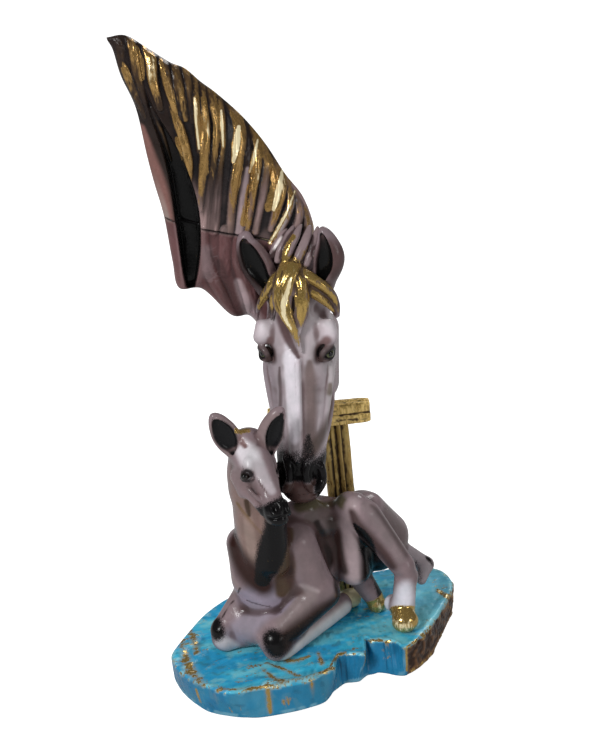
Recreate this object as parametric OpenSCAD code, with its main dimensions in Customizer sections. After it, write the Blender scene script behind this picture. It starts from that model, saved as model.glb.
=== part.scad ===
// Mare and foal figurine: a mare's head and neck hang over a fence and rest on the withers of a
// reclining foal. Every animal is a solid resin casting, painted by hand. The mare's neck is a flat,
// sweeping fin whose mane is cut into it as ropes of hair, cast apart from the head and pinned to it.
// The castings stand on a moulded base with a foam pad under it.
// X runs from left to right of the face that the animals turn to, Y to the back and Z up. The origin is
// on the table, under the middle of the base.

/* [Base] */
// Width of the moulded base, left to right
base_w = 163; // [156:1:176]
// Depth of the moulded base, front to back
base_d = 112; // [108:1:124]
// Height of the moulded base above its pad
base_h = 18; // [12:0.5:24]
// Thickness of the foam pad under the base
pad_t = 1; // [1:0.1:3]
// How far the pad stays inside the edge of the base
pad_inset = 6; // [4:0.5:10]

/* [Mare] */
// Length of the mare's head from poll to lip
mare_head_len = 133; // [124:1:142]
// Rise of the mane's tip above the poll
mane_rise = 119; // [100:1:135]
// Half thickness of the neck where it meets the head
neck_half_t = 10; // [8:0.5:12]
// Diameter of the mare's eye beads
mare_eye_d = 6.6; // [5:0.2:8]

/* [Foal] */
// Length of the foal's body from chest to hip
foal_len = 100; // [94:1:106]
// Length of the foal's head from poll to lip
foal_head_len = 50; // [45:1:55]
// Diameter of the foal's eye beads
foal_eye_d = 4.6; // [3.6:0.2:5.6]

/* [Fence] */
// Length of the rail
rail_len = 56; // [48:1:62]
// Height of the rail's face
rail_h = 12.5; // [10:0.5:15]
// Thickness of the rail, front to back
rail_t = 9; // [7:0.5:11]
// Width of the post
post_w = 15; // [12:0.5:18]
// Thickness of the post, front to back
post_t = 9; // [7:0.5:11]
// Depth of the lap that the rail is let into the post
lap_depth = 3; // [2:0.5:4]

/* [Fixings] */
// Diameter of the steel pins
pin_d = 3; // [2:0.5:4]
// Length of the long pins that join neck to head and foal to base
long_pin_len = 20; // [14:1:22]
// Length of the short pins of the fence and the muzzle
short_pin_len = 10; // [8:1:12]
// Thickness of the layer of glue in every joint
glue_t = 0.3; // [0.2:0.05:0.4]

/* [Hidden] */
// Radial room of a pin in its hole
pin_gap = 0.15;
// How far a cutting shape runs past what it cuts
overrun = 1;
// Facets round a limb, a hair rope, a bead and a pin
limb_fn = 10;
rope_fn = 6;
bead_fn = 20;
pin_fn = 24;

base_top = pad_t + base_h;

// Outline of the base seen from above, as shares of its width and depth, from the left end round the
// front, through the notch of the waterfall and round the back. Each row is the rim, then the foot.
base_outline_shares = [
    [[-0.488, -0.18], [-0.496, -0.11]], [[-0.472, -0.25], [-0.474, -0.20]],
    [[-0.436, -0.33], [-0.440, -0.29]], [[-0.387, -0.40], [-0.380, -0.40]],
    [[-0.313, -0.48], [-0.300, -0.46]], [[-0.264, -0.49], [-0.250, -0.48]],
    [[-0.215, -0.475], [-0.200, -0.49]], [[-0.123, -0.48], [-0.110, -0.475]],
    [[-0.049, -0.46], [-0.050, -0.455]], [[0.012, -0.41], [0.007, -0.42]],
    [[0.050, -0.37], [0.035, -0.35]], [[0.061, -0.28], [0.060, -0.31]],
    [[0.086, -0.265], [0.080, -0.285]], [[0.117, -0.275], [0.105, -0.285]],
    [[0.153, -0.28], [0.128, -0.28]], [[0.163, -0.155], [0.155, -0.24]],
    [[0.181, -0.185], [0.187, -0.225]], [[0.221, -0.19], [0.220, -0.24]],
    [[0.258, -0.205], [0.251, -0.265]], [[0.293, -0.27], [0.294, -0.265]],
    [[0.344, -0.20], [0.335, -0.215]], [[0.380, -0.125], [0.385, -0.12]],
    [[0.423, -0.02], [0.420, 0.00]], [[0.460, 0.09], [0.450, 0.10]],
    [[0.491, 0.20], [0.475, 0.19]], [[0.500, 0.27], [0.492, 0.27]],
    [[0.494, 0.35], [0.480, 0.36]], [[0.466, 0.43], [0.455, 0.43]],
    [[0.405, 0.48], [0.400, 0.475]], [[0.319, 0.50], [0.315, 0.49]],
    [[0.221, 0.48], [0.220, 0.475]], [[0.123, 0.49], [0.120, 0.48]],
    [[0.012, 0.47], [0.010, 0.465]], [[-0.098, 0.49], [-0.095, 0.48]],
    [[-0.209, 0.455], [-0.205, 0.45]], [[-0.307, 0.37], [-0.300, 0.365]],
    [[-0.387, 0.24], [-0.380, 0.24]], [[-0.442, 0.09], [-0.440, 0.10]],
    [[-0.485, -0.05], [-0.485, -0.04]], [[-0.498, -0.12], [-0.500, -0.07]]];

// Rings of the base's wall from foot to rim: share of the height, and how much of the rim's outline
// the ring has taken on
base_wall_shares = [[0, 0], [0.3, 0.3], [0.86, 0.95], [1, 1]];
// How far the foot and the rim are drawn in towards the middle, as a share of the outline
base_round_shares = [0.985, 1, 1, 0.985];

// Knobs of the sculpted bank: centre as shares of base width, depth and height, radius as a share of
// the base's height
bank_knob_shares = [
    [[-0.455, -0.06, 1.0], 0.30], [[-0.430, 0.02, 1.0], 0.34], [[-0.400, -0.17, 1.0], 0.20],
    [[0.300, -0.20, 1.0], 0.16], [[0.020, -0.37, 1.0], 0.18], [[0.120, -0.25, 1.0], 0.14],
    [[0.440, 0.20, 1.0], 0.22], [[0.400, 0.34, 1.0], 0.26], [[-0.250, 0.34, 1.0], 0.26]];

// Height of a knob's middle as a share of the base's, and how flat it is
knob_place_share = 0.96;
knob_flat_share = 0.35;

// Where the long pins stand under the foal, as shares of its length
foal_pin_shares = [[-0.05, 0.06], [0.33, 0.19]];

// The foal's body: each row is a tapered limb from one point to another, with its half width and half
// depth at either end, all as shares of the foal's length from the base's middle and top
foal_body_shares = [
    [[-0.10, 0.09, 0.39], [0.10, 0.19, 0.44], [0.22, 0.36], [0.17, 0.28]],         // ribs
    [[-0.14, 0.01, 0.64], [0.01, 0.01, 0.735], [0.09, 0.10], [0.08, 0.08]],        // withers
    [[0.04, 0.06, 0.65], [0.20, 0.12, 0.62], [0.11, 0.09], [0.11, 0.085]],         // back
    [[0.25, 0.06, 0.70], [0.245, 0.07, 0.31], [0.08, 0.09], [0.095, 0.11]],        // flank
    [[-0.25, -0.05, 0.36], [-0.16, 0.00, 0.38], [0.17, 0.24], [0.20, 0.27]],       // chest
    [[-0.235, -0.05, 0.52], [-0.245, -0.17, 1.06], [0.15, 0.19], [0.118, 0.14]],   // neck
    [[-0.245, -0.15, 1.00], [-0.245, -0.19, 1.22], [0.118, 0.14], [0.11, 0.12]],   // nape
    [[-0.18, -0.20, 0.56], [-0.16, -0.26, 0.86], [0.08, 0.08], [0.07, 0.07]],      // throat
    [[-0.35, -0.04, 0.60], [-0.34, -0.07, 0.40], [0.085, 0.12], [0.085, 0.12]],    // left shoulder
    [[-0.06, -0.10, 0.60], [0.025, -0.13, 0.34], [0.11, 0.11], [0.095, 0.10]],     // right shoulder
    [[0.05, -0.12, 0.30], [-0.22, -0.27, 0.12], [0.10, 0.115], [0.075, 0.08]],      // right forearm
    [[-0.235, -0.28, 0.115], [-0.22, -0.29, 0.08], [0.076, 0.082], [0.074, 0.08]], // right knee
    [[-0.18, -0.26, 0.06], [0.16, 0.11, 0.06], [0.06, 0.06], [0.055, 0.055]],      // right cannon
    [[-0.36, -0.04, 0.25], [-0.49, -0.10, 0.13], [0.085, 0.095], [0.065, 0.07]],   // left forearm
    [[-0.515, -0.115, 0.115], [-0.51, -0.13, 0.07], [0.064, 0.072], [0.066, 0.068]], // left knee
    [[-0.49, -0.12, 0.05], [-0.32, -0.10, 0.06], [0.055, 0.055], [0.06, 0.06]],    // left cannon
    [[-0.38, -0.11, 0.13], [-0.24, -0.19, 0.14], [0.09, 0.10], [0.11, 0.11]],      // brisket
    [[0.29, 0.17, 0.56], [0.41, 0.25, 0.36], [0.14, 0.17], [0.15, 0.18]],          // rump
    [[0.425, 0.20, 0.40], [0.35, 0.11, 0.64], [0.105, 0.13], [0.08, 0.10]],        // thigh
    [[0.288, 0.01, 0.73], [0.31, 0.01, 0.68], [0.062, 0.08], [0.07, 0.08]],        // stifle
    [[0.32, 0.00, 0.66], [0.50, -0.05, 0.37], [0.085, 0.10], [0.06, 0.07]],        // gaskin
    [[0.52, -0.05, 0.35], [0.53, -0.05, 0.30], [0.055, 0.07], [0.055, 0.065]],     // hock
    [[0.515, -0.05, 0.27], [0.49, -0.07, 0.11], [0.062, 0.065], [0.065, 0.06]],    // hind cannon
    [[0.44, 0.00, 0.10], [0.48, -0.06, 0.11], [0.05, 0.05], [0.06, 0.06]],         // fetlock
    [[0.26, 0.13, 0.24], [0.34, 0.12, 0.08], [0.07, 0.07], [0.055, 0.055]],        // far cannon
    [[0.54, 0.25, 0.28], [0.655, 0.21, 0.20], [0.045, 0.05], [0.042, 0.045]],      // dock of the tail
    [[0.655, 0.21, 0.20], [0.62, 0.17, 0.13], [0.042, 0.045], [0.03, 0.03]],       // end of the tail
    [[0.19, 0.16, 0.06], [0.215, 0.185, 0.05], [0.055, 0.055], [0.06, 0.055]],     // fore hoof
    [[0.345, 0.12, 0.06], [0.355, 0.11, 0.04], [0.052, 0.052], [0.056, 0.052]],    // far hind hoof
    [[0.485, -0.10, 0.08], [0.49, -0.13, 0.06], [0.065, 0.07], [0.075, 0.065]]];   // near hind hoof

// The foal's head in its own frame: side, front and down from the poll, as shares of its length.
// Rows with a side are made on both sides.
foal_poll_share = [-0.235, -0.205, 1.32];
foal_down_share = [0.24, -0.64, -0.73];
foal_front_share = [0.63, -0.40, 0.60];
foal_head_shares = [
    [[0, -0.12, 0.10], [0, -0.08, 0.36], [0.16, 0.16], [0.20, 0.19]],              // cranium
    [[0, 0.00, 0.28], [0, 0.02, 0.56], [0.15, 0.12], [0.12, 0.10]],                // forehead
    [[0, -0.06, 0.50], [0, -0.02, 0.84], [0.135, 0.14], [0.105, 0.11]],            // face
    [[0, 0.00, 0.87], [0, 0.00, 0.93], [0.125, 0.115], [0.115, 0.105]],            // muzzle
    [[0, -0.10, 0.80], [0, -0.09, 0.92], [0.08, 0.07], [0.07, 0.06]],              // chin
    [[0, -0.02, 0.02], [0, 0.04, 0.14], [0.11, 0.07], [0.09, 0.05]],               // forelock
    [[0.08, -0.22, 0.36], [0.075, -0.23, 0.54], [0.085, 0.15], [0.075, 0.12]],     // jowl
    [[0.165, 0.035, 0.34], [0.17, 0.02, 0.40], [0.05, 0.05], [0.045, 0.045]],      // brow
    [[0.075, 0.045, 0.86], [0.082, 0.03, 0.92], [0.045, 0.05], [0.045, 0.045]]];   // nostril
foal_eye_share = [0.205, -0.055, 0.455];
// Where the hollow of an ear starts and ends between root, widest place and tip, and its size at the
// root and the widest place as shares of the ear's
ear_hollow_end_shares = [0.35, 0.8];
ear_hollow_size_shares = [0.7, 0.8];

// Ears of the foal, from the middle of the base and its top, as shares of the foal's length: root,
// widest place and tip, with half width and half depth, then the hollow in front
foal_ear_shares = [
    [[[-0.31, -0.225, 1.235], [0.042, 0.035]], [[-0.355, -0.236, 1.34], [0.06, 0.03]],
     [[-0.40, -0.235, 1.442], [0.012, 0.01]]],
    [[[-0.155, -0.235, 1.23], [0.042, 0.035]], [[-0.115, -0.24, 1.34], [0.055, 0.03]],
     [[-0.057, -0.24, 1.442], [0.012, 0.01]]]];

// The mare's head in its own frame, as shares of its length. Rows with a side are made on both sides.
mare_lip_share = [0.003, -0.017, 0.816];
mare_down_share = [-0.07, -0.163, -0.984];
mare_front_share = [-0.2, -1, 0];
mare_head_shares = [
    [[0, -0.08, 0.04], [0, -0.05, 0.16], [0.085, 0.10], [0.115, 0.12]],            // poll
    [[0, -0.06, 0.14], [0, -0.04, 0.34], [0.12, 0.13], [0.135, 0.12]],             // cranium
    [[0, 0.00, 0.26], [0, 0.02, 0.46], [0.115, 0.09], [0.105, 0.085]],             // forehead
    [[0, 0.035, 0.44], [0, 0.055, 0.82], [0.062, 0.062], [0.045, 0.05]],           // bridge
    [[0, -0.04, 0.46], [0, -0.01, 0.80], [0.14, 0.12], [0.10, 0.085]],             // face
    [[0, 0.00, 0.84], [0, 0.005, 0.92], [0.10, 0.085], [0.104, 0.088]],            // muzzle
    [[0, 0.02, 0.94], [0, 0.015, 0.965], [0.072, 0.065], [0.062, 0.048]],          // lip
    [[0, -0.06, 0.86], [0, -0.055, 0.925], [0.05, 0.05], [0.05, 0.045]],           // chin
    [[0.07, -0.15, 0.33], [0.07, -0.15, 0.55], [0.075, 0.13], [0.07, 0.11]],       // jowl
    [[0.055, -0.14, 0.58], [0.03, -0.07, 0.85], [0.055, 0.075], [0.04, 0.05]],     // jaw
    [[0.122, 0.03, 0.285], [0.13, 0.035, 0.325], [0.042, 0.05], [0.04, 0.045]],    // brow
    [[0.122, -0.03, 0.40], [0.088, -0.01, 0.68], [0.028, 0.035], [0.018, 0.03]],   // cheek bone
    [[0.062, 0.02, 0.865], [0.066, 0.02, 0.92], [0.034, 0.045], [0.036, 0.04]]];   // nostril
mare_eye_share = [0.126, 0.048, 0.388];

// Strands of the forelock, in the head's frame: points along each with half width and half depth
forelock_shares = [
    [[[0, 0.03, 0.045], [0.04, 0.03]], [[-0.017, 0.095, 0.09], [0.045, 0.032]],
     [[-0.03, 0.108, 0.16], [0.035, 0.028]], [[-0.01, 0.112, 0.24], [0.025, 0.022]],
     [[0.03, 0.104, 0.37], [0.006, 0.006]]],
    [[[-0.02, 0.05, 0.06], [0.03, 0.025]], [[-0.078, 0.078, 0.115], [0.024, 0.02]],
     [[-0.125, 0.055, 0.182], [0.016, 0.015]], [[-0.148, 0.035, 0.23], [0.006, 0.006]]],
    [[[0.022, 0.05, 0.065], [0.03, 0.025]], [[0.09, 0.084, 0.105], [0.026, 0.022]],
     [[0.147, 0.062, 0.155], [0.022, 0.018]], [[0.168, 0.025, 0.235], [0.006, 0.006]]]];

// Ears of the mare in the head's frame: root, widest place and tip
mare_ear_shares = [
    [[[-0.10, 0.03, 0.125], [0.04, 0.034]], [[-0.145, 0.062, 0.03], [0.055, 0.034]],
     [[-0.172, 0.086, -0.076], [0.012, 0.009]]],
    [[[0.113, 0.02, 0.115], [0.036, 0.034]], [[0.143, 0.06, 0.015], [0.05, 0.034]],
     [[0.13, 0.08, -0.092], [0.01, 0.008]]]];

// The neck is a loft over slices that fan from the mane's tip to the head. Each row holds the slice's
// end on the crest and on the cut edge, across and up from the poll as shares of the mane's rise, and
// the half thickness as a share of the neck's.
neck_slice_shares = [
    [[-0.669, 1.000], [-0.666, 0.985], 0.10], [[-0.592, 1.000], [-0.651, 0.945], 0.25],
    [[-0.504, 0.935], [-0.634, 0.840], 0.42], [[-0.426, 0.872], [-0.592, 0.702], 0.51],
    [[-0.372, 0.840], [-0.574, 0.504], 0.62], [[-0.315, 0.775], [-0.559, 0.378], 0.72],
    [[-0.256, 0.715], [-0.538, 0.235], 0.81], [[-0.158, 0.598], [-0.528, 0.034], 0.90],
    [[-0.074, 0.470], [-0.516, -0.092], 0.96], [[-0.006, 0.335], [-0.416, -0.113], 1.00],
    [[0.060, 0.228], [-0.307, -0.260], 1.00], [[0.094, 0.100], [-0.231, -0.281], 1.00],
    [[0.088, 0.000], [-0.185, -0.350], 1.00]];
// What keeps two slices of the same height apart when they are looked up
slice_step_share = 0.00001;
// Round a slice: how far from crest to cut edge, and how much of the half thickness, front then back
neck_round_shares = [
    [0, 0], [0.06, -0.55], [0.25, -0.92], [0.55, -1], [0.85, -0.72],
    [1, 0], [0.85, 0.72], [0.55, 1], [0.25, 0.92], [0.06, 0.55]];
// Depth of the neck's middle behind the poll, at its free end and at the head, and where it turns,
// as shares of the mane's rise
neck_depth_shares = [-0.04, 0.07];
neck_turn_shares = [-0.50, -0.10];

// Ropes of the mane on the front: points across and up from the poll, as shares of the mane's rise
front_rope_shares = [
    [[-0.640, 0.995], [-0.615, 0.92], [-0.620, 0.80]], [[-0.580, 0.98], [-0.570, 0.89], [-0.568, 0.75]],
    [[-0.508, 0.93], [-0.498, 0.83], [-0.488, 0.72]], [[-0.448, 0.86], [-0.418, 0.75], [-0.390, 0.65]],
    [[-0.500, 0.68], [-0.460, 0.58], [-0.425, 0.47]], [[-0.430, 0.65], [-0.400, 0.50], [-0.412, 0.38]],
    [[-0.375, 0.82], [-0.362, 0.74], [-0.362, 0.64]], [[-0.332, 0.76], [-0.338, 0.63], [-0.350, 0.54]],
    [[-0.312, 0.68], [-0.312, 0.54], [-0.352, 0.36]], [[-0.295, 0.74], [-0.272, 0.58], [-0.315, 0.36]],
    [[-0.252, 0.69], [-0.240, 0.57], [-0.332, 0.15]], [[-0.175, 0.60], [-0.165, 0.475], [-0.262, 0.155]],
    [[-0.125, 0.53], [-0.130, 0.405], [-0.230, 0.13]], [[-0.084, 0.455], [-0.118, 0.295], [-0.180, 0.11]],
    [[-0.052, 0.395], [-0.078, 0.27], [-0.150, 0.085]], [[-0.013, 0.322], [-0.036, 0.215], [-0.11, 0.04]],
    [[0.034, 0.23], [-0.010, 0.145], [-0.085, 0.01]], [[0.070, 0.15], [0.030, 0.06], [0.008, -0.02]]];
// Ropes on the back, which the photograph doesn't show: fewer and wider
back_rope_shares = [
    [[-0.600, 0.985], [-0.585, 0.87], [-0.585, 0.74]], [[-0.505, 0.92], [-0.490, 0.78], [-0.490, 0.60]],
    [[-0.420, 0.85], [-0.405, 0.68], [-0.420, 0.42]], [[-0.335, 0.76], [-0.330, 0.56], [-0.370, 0.24]],
    [[-0.255, 0.68], [-0.255, 0.48], [-0.315, 0.14]], [[-0.175, 0.59], [-0.185, 0.40], [-0.255, 0.10]],
    [[-0.105, 0.48], [-0.120, 0.31], [-0.195, 0.06]], [[-0.040, 0.36], [-0.060, 0.22], [-0.130, 0.02]],
    [[0.030, 0.24], [0.000, 0.12], [-0.060, -0.04]]];
// Half width, half depth and lift of a rope, as shares of the neck's half thickness: at the crest, in
// the middle and at the end
rope_size_shares = [[0.20, 0.18], [0.29, 0.27], [0.15, 0.14]];
rope_lift_share = 0.92;
// How much of that lift a rope has where it leaves the crest
rope_root_share = 0.45;

// Line of the deep hollow behind the cut edge, across and up from the poll, with its radius as a share
// of the neck's half thickness
hollow_shares = [
    [[-0.545, 0.70], 0.15], [[-0.475, 0.47], 0.39], [[-0.445, 0.25], 0.51], [[-0.450, 0.02], 0.39],
    [[-0.462, -0.09], 0.15]];
// How far in front of the neck's middle the hollow runs, as a share of its half thickness
hollow_lift_share = 0.82;

// The seam between the neck and head castings: a point on it, as shares of the mane's rise, its tilt,
// and the places of its pins along it
seam_share = [-0.378, 0.170];
seam_tilt = 20.9;
seam_pin_shares = [0.02, 0.25];

// Where the rail runs behind the jaw, in the head's frame, and the place of the post along it
rail_seat_share = [0, -0.195, 0.705];
rail_shift_share = 0.12;
post_shift_share = 0.25;
// How far the rail's ends taper
rail_end_share = 0.8;
// Grooves of bark down the post, across its width
bark_groove_shares = [-0.42, -0.17, 0.1, 0.36];
bark_groove_share = 0.055;
// How deep the post stands in the base, and how far it rises past the middle of the rail
post_sink_share = 0.3;
post_rise_share = 0.25;

function unit(v) = v / norm(v);
function mix(a, b, t) = a * (1 - t) + b * t;
function ease(t) = t <= 0 ? 0 : t >= 1 ? 1 : t * t * (3 - 2 * t);
function at_frame(o, x, y, z) = [
    [x[0], y[0], z[0], o[0]], [x[1], y[1], z[1], o[1]], [x[2], y[2], z[2], o[2]], [0, 0, 0, 1]];

// Frames of the two heads: side, front and down
foal_down = unit(foal_down_share);
foal_front = unit(foal_front_share - foal_down * (foal_front_share * foal_down));
foal_side = cross(foal_front, foal_down);
foal_poll = [0, 0, base_top] + foal_len * foal_poll_share;

mare_down = unit(mare_down_share);
mare_front = unit(mare_front_share - mare_down * (mare_front_share * mare_down));
mare_side = cross(mare_front, mare_down);
mare_lip = [0, 0, base_top] + foal_len * mare_lip_share;
mare_poll = mare_lip - mare_head_len * mare_down;

function mare_at(share) = mare_poll + mare_head_len
    * (mare_side * share[0] + mare_front * share[1] + mare_down * share[2]);

// The neck's middle surface and a point on it or off it
function neck_y(x) = mane_rise * mix(neck_depth_shares[0], neck_depth_shares[1],
    ease((x / mane_rise - neck_turn_shares[0]) / (neck_turn_shares[1] - neck_turn_shares[0])));
function neck_at(share, off) = mare_poll
    + [share[0] * mane_rise, neck_y(share[0] * mane_rise) + off, share[1] * mane_rise];

rail_at = mare_at(rail_seat_share) + [rail_shift_share * rail_len, 0, 0];
post_x = mare_at(rail_seat_share)[0] + post_shift_share * rail_len;
post_y = rail_at[1] + rail_t / 2 + post_t / 2 - lap_depth;
post_foot = base_top - post_sink_share * base_h;
post_top = rail_at[2] + post_rise_share * rail_h;

// A tapered limb between two points, with a half width across and a half depth at either end
module limb(a, b, size_a, size_b, across, facets) {
    along = unit(b - a);
    side = unit(across - along * (across * along));
    front = cross(along, side);
    hull() {
        multmatrix(at_frame(a, side, front, along))
            scale([size_a[0], size_a[1], min(size_a)]) sphere(r = 1, $fn = facets);
        multmatrix(at_frame(b, side, front, along))
            scale([size_b[0], size_b[1], min(size_b)]) sphere(r = 1, $fn = facets);
    }
}

// Limbs of a table of rows, scaled by one size, each grown by a layer
module limbs(rows, size, grow) {
    for (row = rows) {
        along = unit(row[1] - row[0]);
        across = abs(along[2]) < 0.9 ? cross(along, [0, 0, 1]) : [1, 0, 0];
        limb(size * row[0], size * row[1], size * row[2] + [grow, grow], size * row[3] + [grow, grow],
             across, limb_fn);
    }
}

// Limbs of a head in its own frame: a row with a side is made on both
module head_limbs(rows, size, grow) {
    for (row = rows)
        for (side = row[0][0] == 0 ? [1] : [1, -1])
            scale([side, 1, 1])
                limb(size * row[0], size * row[1], size * row[2] + [grow, grow],
                     size * row[3] + [grow, grow], [1, 0, 0], limb_fn);
}

// Direction of a strand at one of its points, from the points on either side
function course(points, i) = unit(points[min(i + 1, len(points) - 1)][0] - points[max(i - 1, 0)][0]);

// A round joint of a strand, turned with it
module strand_joint(points, i, size, facets, grow) {
    along = course(points, i);
    side = unit([1, 0, 0] - along * along[0]);
    width = size * points[i][1] + [grow, grow];
    multmatrix(at_frame(size * points[i][0], side, cross(along, side), along))
        scale([width[0], width[1], min(width)]) sphere(r = 1, $fn = facets);
}

// A strand through points that each carry a half width and half depth
module strand(points, size, facets, grow) {
    for (i = [0:len(points) - 2]) hull() {
        strand_joint(points, i, size, facets, grow);
        strand_joint(points, i + 1, size, facets, grow);
    }
}

// The hollow in front of an ear, drawn in from its rim and moved forward
module ear_hollow(points, size, front) {
    root = mix(points[0][0], points[1][0], ear_hollow_end_shares[0]);
    tip = mix(points[1][0], points[2][0], ear_hollow_end_shares[1]);
    move = front * points[1][1][1];
    strand([[root + move, points[0][1] * ear_hollow_size_shares[0]],
            [points[1][0] + move, points[1][1] * ear_hollow_size_shares[1]],
            [tip + move, points[2][1]]], size, rope_fn, 0);
}

module pin(length, grow) {
    cylinder(d = pin_d + 2 * grow, h = length + 2 * grow, center = true, $fn = pin_fn);
}

// A prism lofted through rings of points, closed at both ends
module loft(rings) {
    n = len(rings[0]);
    last = len(rings) - 1;
    points = [for (ring = rings) each ring];
    walls = [for (i = [0:last - 1]) for (j = [0:n - 1]) each [
        [i * n + j, (i + 1) * n + j, (i + 1) * n + (j + 1) % n],
        [i * n + j, (i + 1) * n + (j + 1) % n, i * n + (j + 1) % n]]];
    polyhedron(points = points, convexity = 8, faces = concat(walls,
        [[for (j = [0:n - 1]) j]], [[for (j = [n - 1:-1:0]) last * n + j]]));
}

// Places of the pins, each with its axis along Z
module at_foal_pins() {
    for (share = foal_pin_shares)
        translate([foal_len * share[0], foal_len * share[1], base_top]) children();
}

module at_neck_pins() {
    for (share = seam_pin_shares)
        translate(neck_at(seam_share + share * [cos(seam_tilt), -sin(seam_tilt)], 0))
            rotate([0, seam_tilt, 0]) children();
}

module at_post_pin() {
    translate([post_x, post_y, post_foot]) children();
}

module at_rail_pins() {
    translate([post_x, rail_at[1] + rail_t / 2 - lap_depth, rail_at[2]])
        rotate([90, 0, 0]) children();
    translate([mare_at(rail_seat_share)[0], rail_at[1] - rail_t / 2, rail_at[2]])
        rotate([90, 0, 0]) children();
}

module at_muzzle_pin() {
    translate(mare_lip) multmatrix(at_frame([0, 0, 0], mare_side, mare_front, mare_down)) children();
}

// Everything below the seam between the castings of the mare
module below_seam(shift) {
    reach = 2 * mane_rise;
    translate(neck_at(seam_share, 0)) rotate([0, seam_tilt, 0])
        translate([-reach, -reach, shift - 2 * reach]) cube(2 * reach);
}

module base_rings_solid() {
    loft([for (k = [0:len(base_wall_shares) - 1]) [for (p = base_outline_shares)
        let (q = mix(p[1], p[0], base_wall_shares[k][1]) * base_round_shares[k])
        [q[0] * base_w, q[1] * base_d, pad_t + base_wall_shares[k][0] * base_h]]]);
}

module base() {
    color([0.13, 0.55, 0.70])
    difference() {
        union() {
            base_rings_solid();
            for (knob = bank_knob_shares)
                translate([knob[0][0] * base_w, knob[0][1] * base_d, pad_t + base_h * knob_place_share])
                    scale([1, 1, knob_flat_share]) hull() {
                        sphere(r = knob[1] * base_h, $fn = rope_fn);
                        translate([0, knob[1] * base_h, 0]) sphere(r = knob[1] * base_h, $fn = rope_fn);
                    }
        }
        at_foal_pins() pin(long_pin_len, pin_gap);
        post_body(glue_t);
        at_post_pin() pin(short_pin_len, pin_gap);
        foal_limbs(glue_t);
    }
}

module base_pad() {
    color([0.12, 0.12, 0.13])
    linear_extrude(height = pad_t)
        offset(delta = -pad_inset)
            polygon([for (p = base_outline_shares) [p[1][0] * base_w, p[1][1] * base_d]]);
}

module foal_limbs(grow) {
    intersection() {
        translate([0, 0, base_top]) limbs(foal_body_shares, foal_len, grow);
        translate([-foal_len, -foal_len, base_top - grow]) cube(3 * foal_len);
    }
}

module foal() {
    color([0.66, 0.55, 0.58])
    difference() {
        union() {
            foal_limbs(0);
            multmatrix(at_frame(foal_poll, foal_side, foal_front, foal_down))
                head_limbs(foal_head_shares, foal_head_len, 0);
            for (ear = foal_ear_shares) difference() {
                translate([0, 0, base_top]) strand(ear, foal_len, limb_fn, 0);
                translate([0, 0, base_top]) ear_hollow(ear, foal_len, [0, -1, 0]);
            }
        }
        mare_head_limbs(glue_t);
        post_body(glue_t);
        foal_eye_beads(glue_t);
        at_foal_pins() pin(long_pin_len, pin_gap);
        at_muzzle_pin() pin(short_pin_len, pin_gap);
    }
}

module foal_eye_beads(grow) {
    multmatrix(at_frame(foal_poll, foal_side, foal_front, foal_down))
        for (side = [1, -1])
            translate([side * foal_eye_share[0], foal_eye_share[1], foal_eye_share[2]] * foal_head_len)
                sphere(d = foal_eye_d + 2 * grow, $fn = bead_fn);
}

module foal_eyes() {
    color([0.05, 0.05, 0.06]) foal_eye_beads(0);
}

module mare_head_limbs(grow) {
    multmatrix(at_frame(mare_poll, mare_side, mare_front, mare_down)) {
        head_limbs(mare_head_shares, mare_head_len, grow);
        for (lock = forelock_shares) strand(lock, mare_head_len, rope_fn, grow);
    }
}

module mare_ears(grow) {
    multmatrix(at_frame(mare_poll, mare_side, mare_front, mare_down))
        for (ear = mare_ear_shares) strand(ear, mare_head_len, limb_fn, grow);
}

module mare_eye_beads(grow) {
    multmatrix(at_frame(mare_poll, mare_side, mare_front, mare_down))
        for (side = [1, -1])
            translate([side * mare_eye_share[0], mare_eye_share[1], mare_eye_share[2]] * mare_head_len)
                sphere(d = mare_eye_d + 2 * grow, $fn = bead_fn);
}

module mare_eyes() {
    color([0.12, 0.16, 0.08]) mare_eye_beads(0);
}

// The whole neck before the seam cuts it
module neck_fin() {
    loft([for (s = neck_slice_shares) [for (r = neck_round_shares)
        neck_at(mix(s[0], s[1], r[0]), r[1] * s[2] * neck_half_t)]]);
}

module mare_head() {
    color([0.70, 0.60, 0.63])
    difference() {
        union() {
            mare_head_limbs(0);
            mare_ears(0);
            intersection() {
                neck_fin();
                below_seam(0);
            }
        }
        multmatrix(at_frame(mare_poll, mare_side, mare_front, mare_down))
            for (ear = mare_ear_shares) ear_hollow(ear, mare_head_len, [0, 1, 0]);
        hollow();
        mare_eye_beads(glue_t);
        rail_body(glue_t);
        at_neck_pins() pin(long_pin_len, pin_gap);
        at_rail_pins() pin(short_pin_len, pin_gap);
        at_muzzle_pin() pin(short_pin_len, pin_gap);
    }
}

// Half thickness of the neck at a place, from the nearest slice's height on the crest
function slice_half_t(up) = neck_half_t * lookup(up, [for (i = [len(neck_slice_shares) - 1:-1:0])
    [neck_slice_shares[i][0][1] + i * slice_step_share, neck_slice_shares[i][2]]]);

// Ropes of hair down one face of the neck, side -1 in front and 1 behind
module ropes(rows, side) {
    for (rope = rows) {
        lift = side * rope_lift_share * slice_half_t(rope[0][1]);
        strand([for (i = [0:2]) [neck_at(rope[i], i == 0 ? rope_root_share * lift : lift),
            rope_size_shares[i] * neck_half_t]], 1, rope_fn, 0);
    }
}

module hollow() {
    strand([for (h = hollow_shares) [neck_at(h[0], -hollow_lift_share * neck_half_t),
        [h[1], h[1]] * neck_half_t]], 1, rope_fn, 0);
}

module mare_mane() {
    color([0.50, 0.38, 0.30])
    difference() {
        union() {
            neck_fin();
            ropes(front_rope_shares, -1);
            ropes(back_rope_shares, 1);
        }
        hollow();
        below_seam(glue_t);
        mare_ears(glue_t);
        mare_head_limbs(glue_t);
        at_neck_pins() pin(long_pin_len, pin_gap);
    }
}

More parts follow.
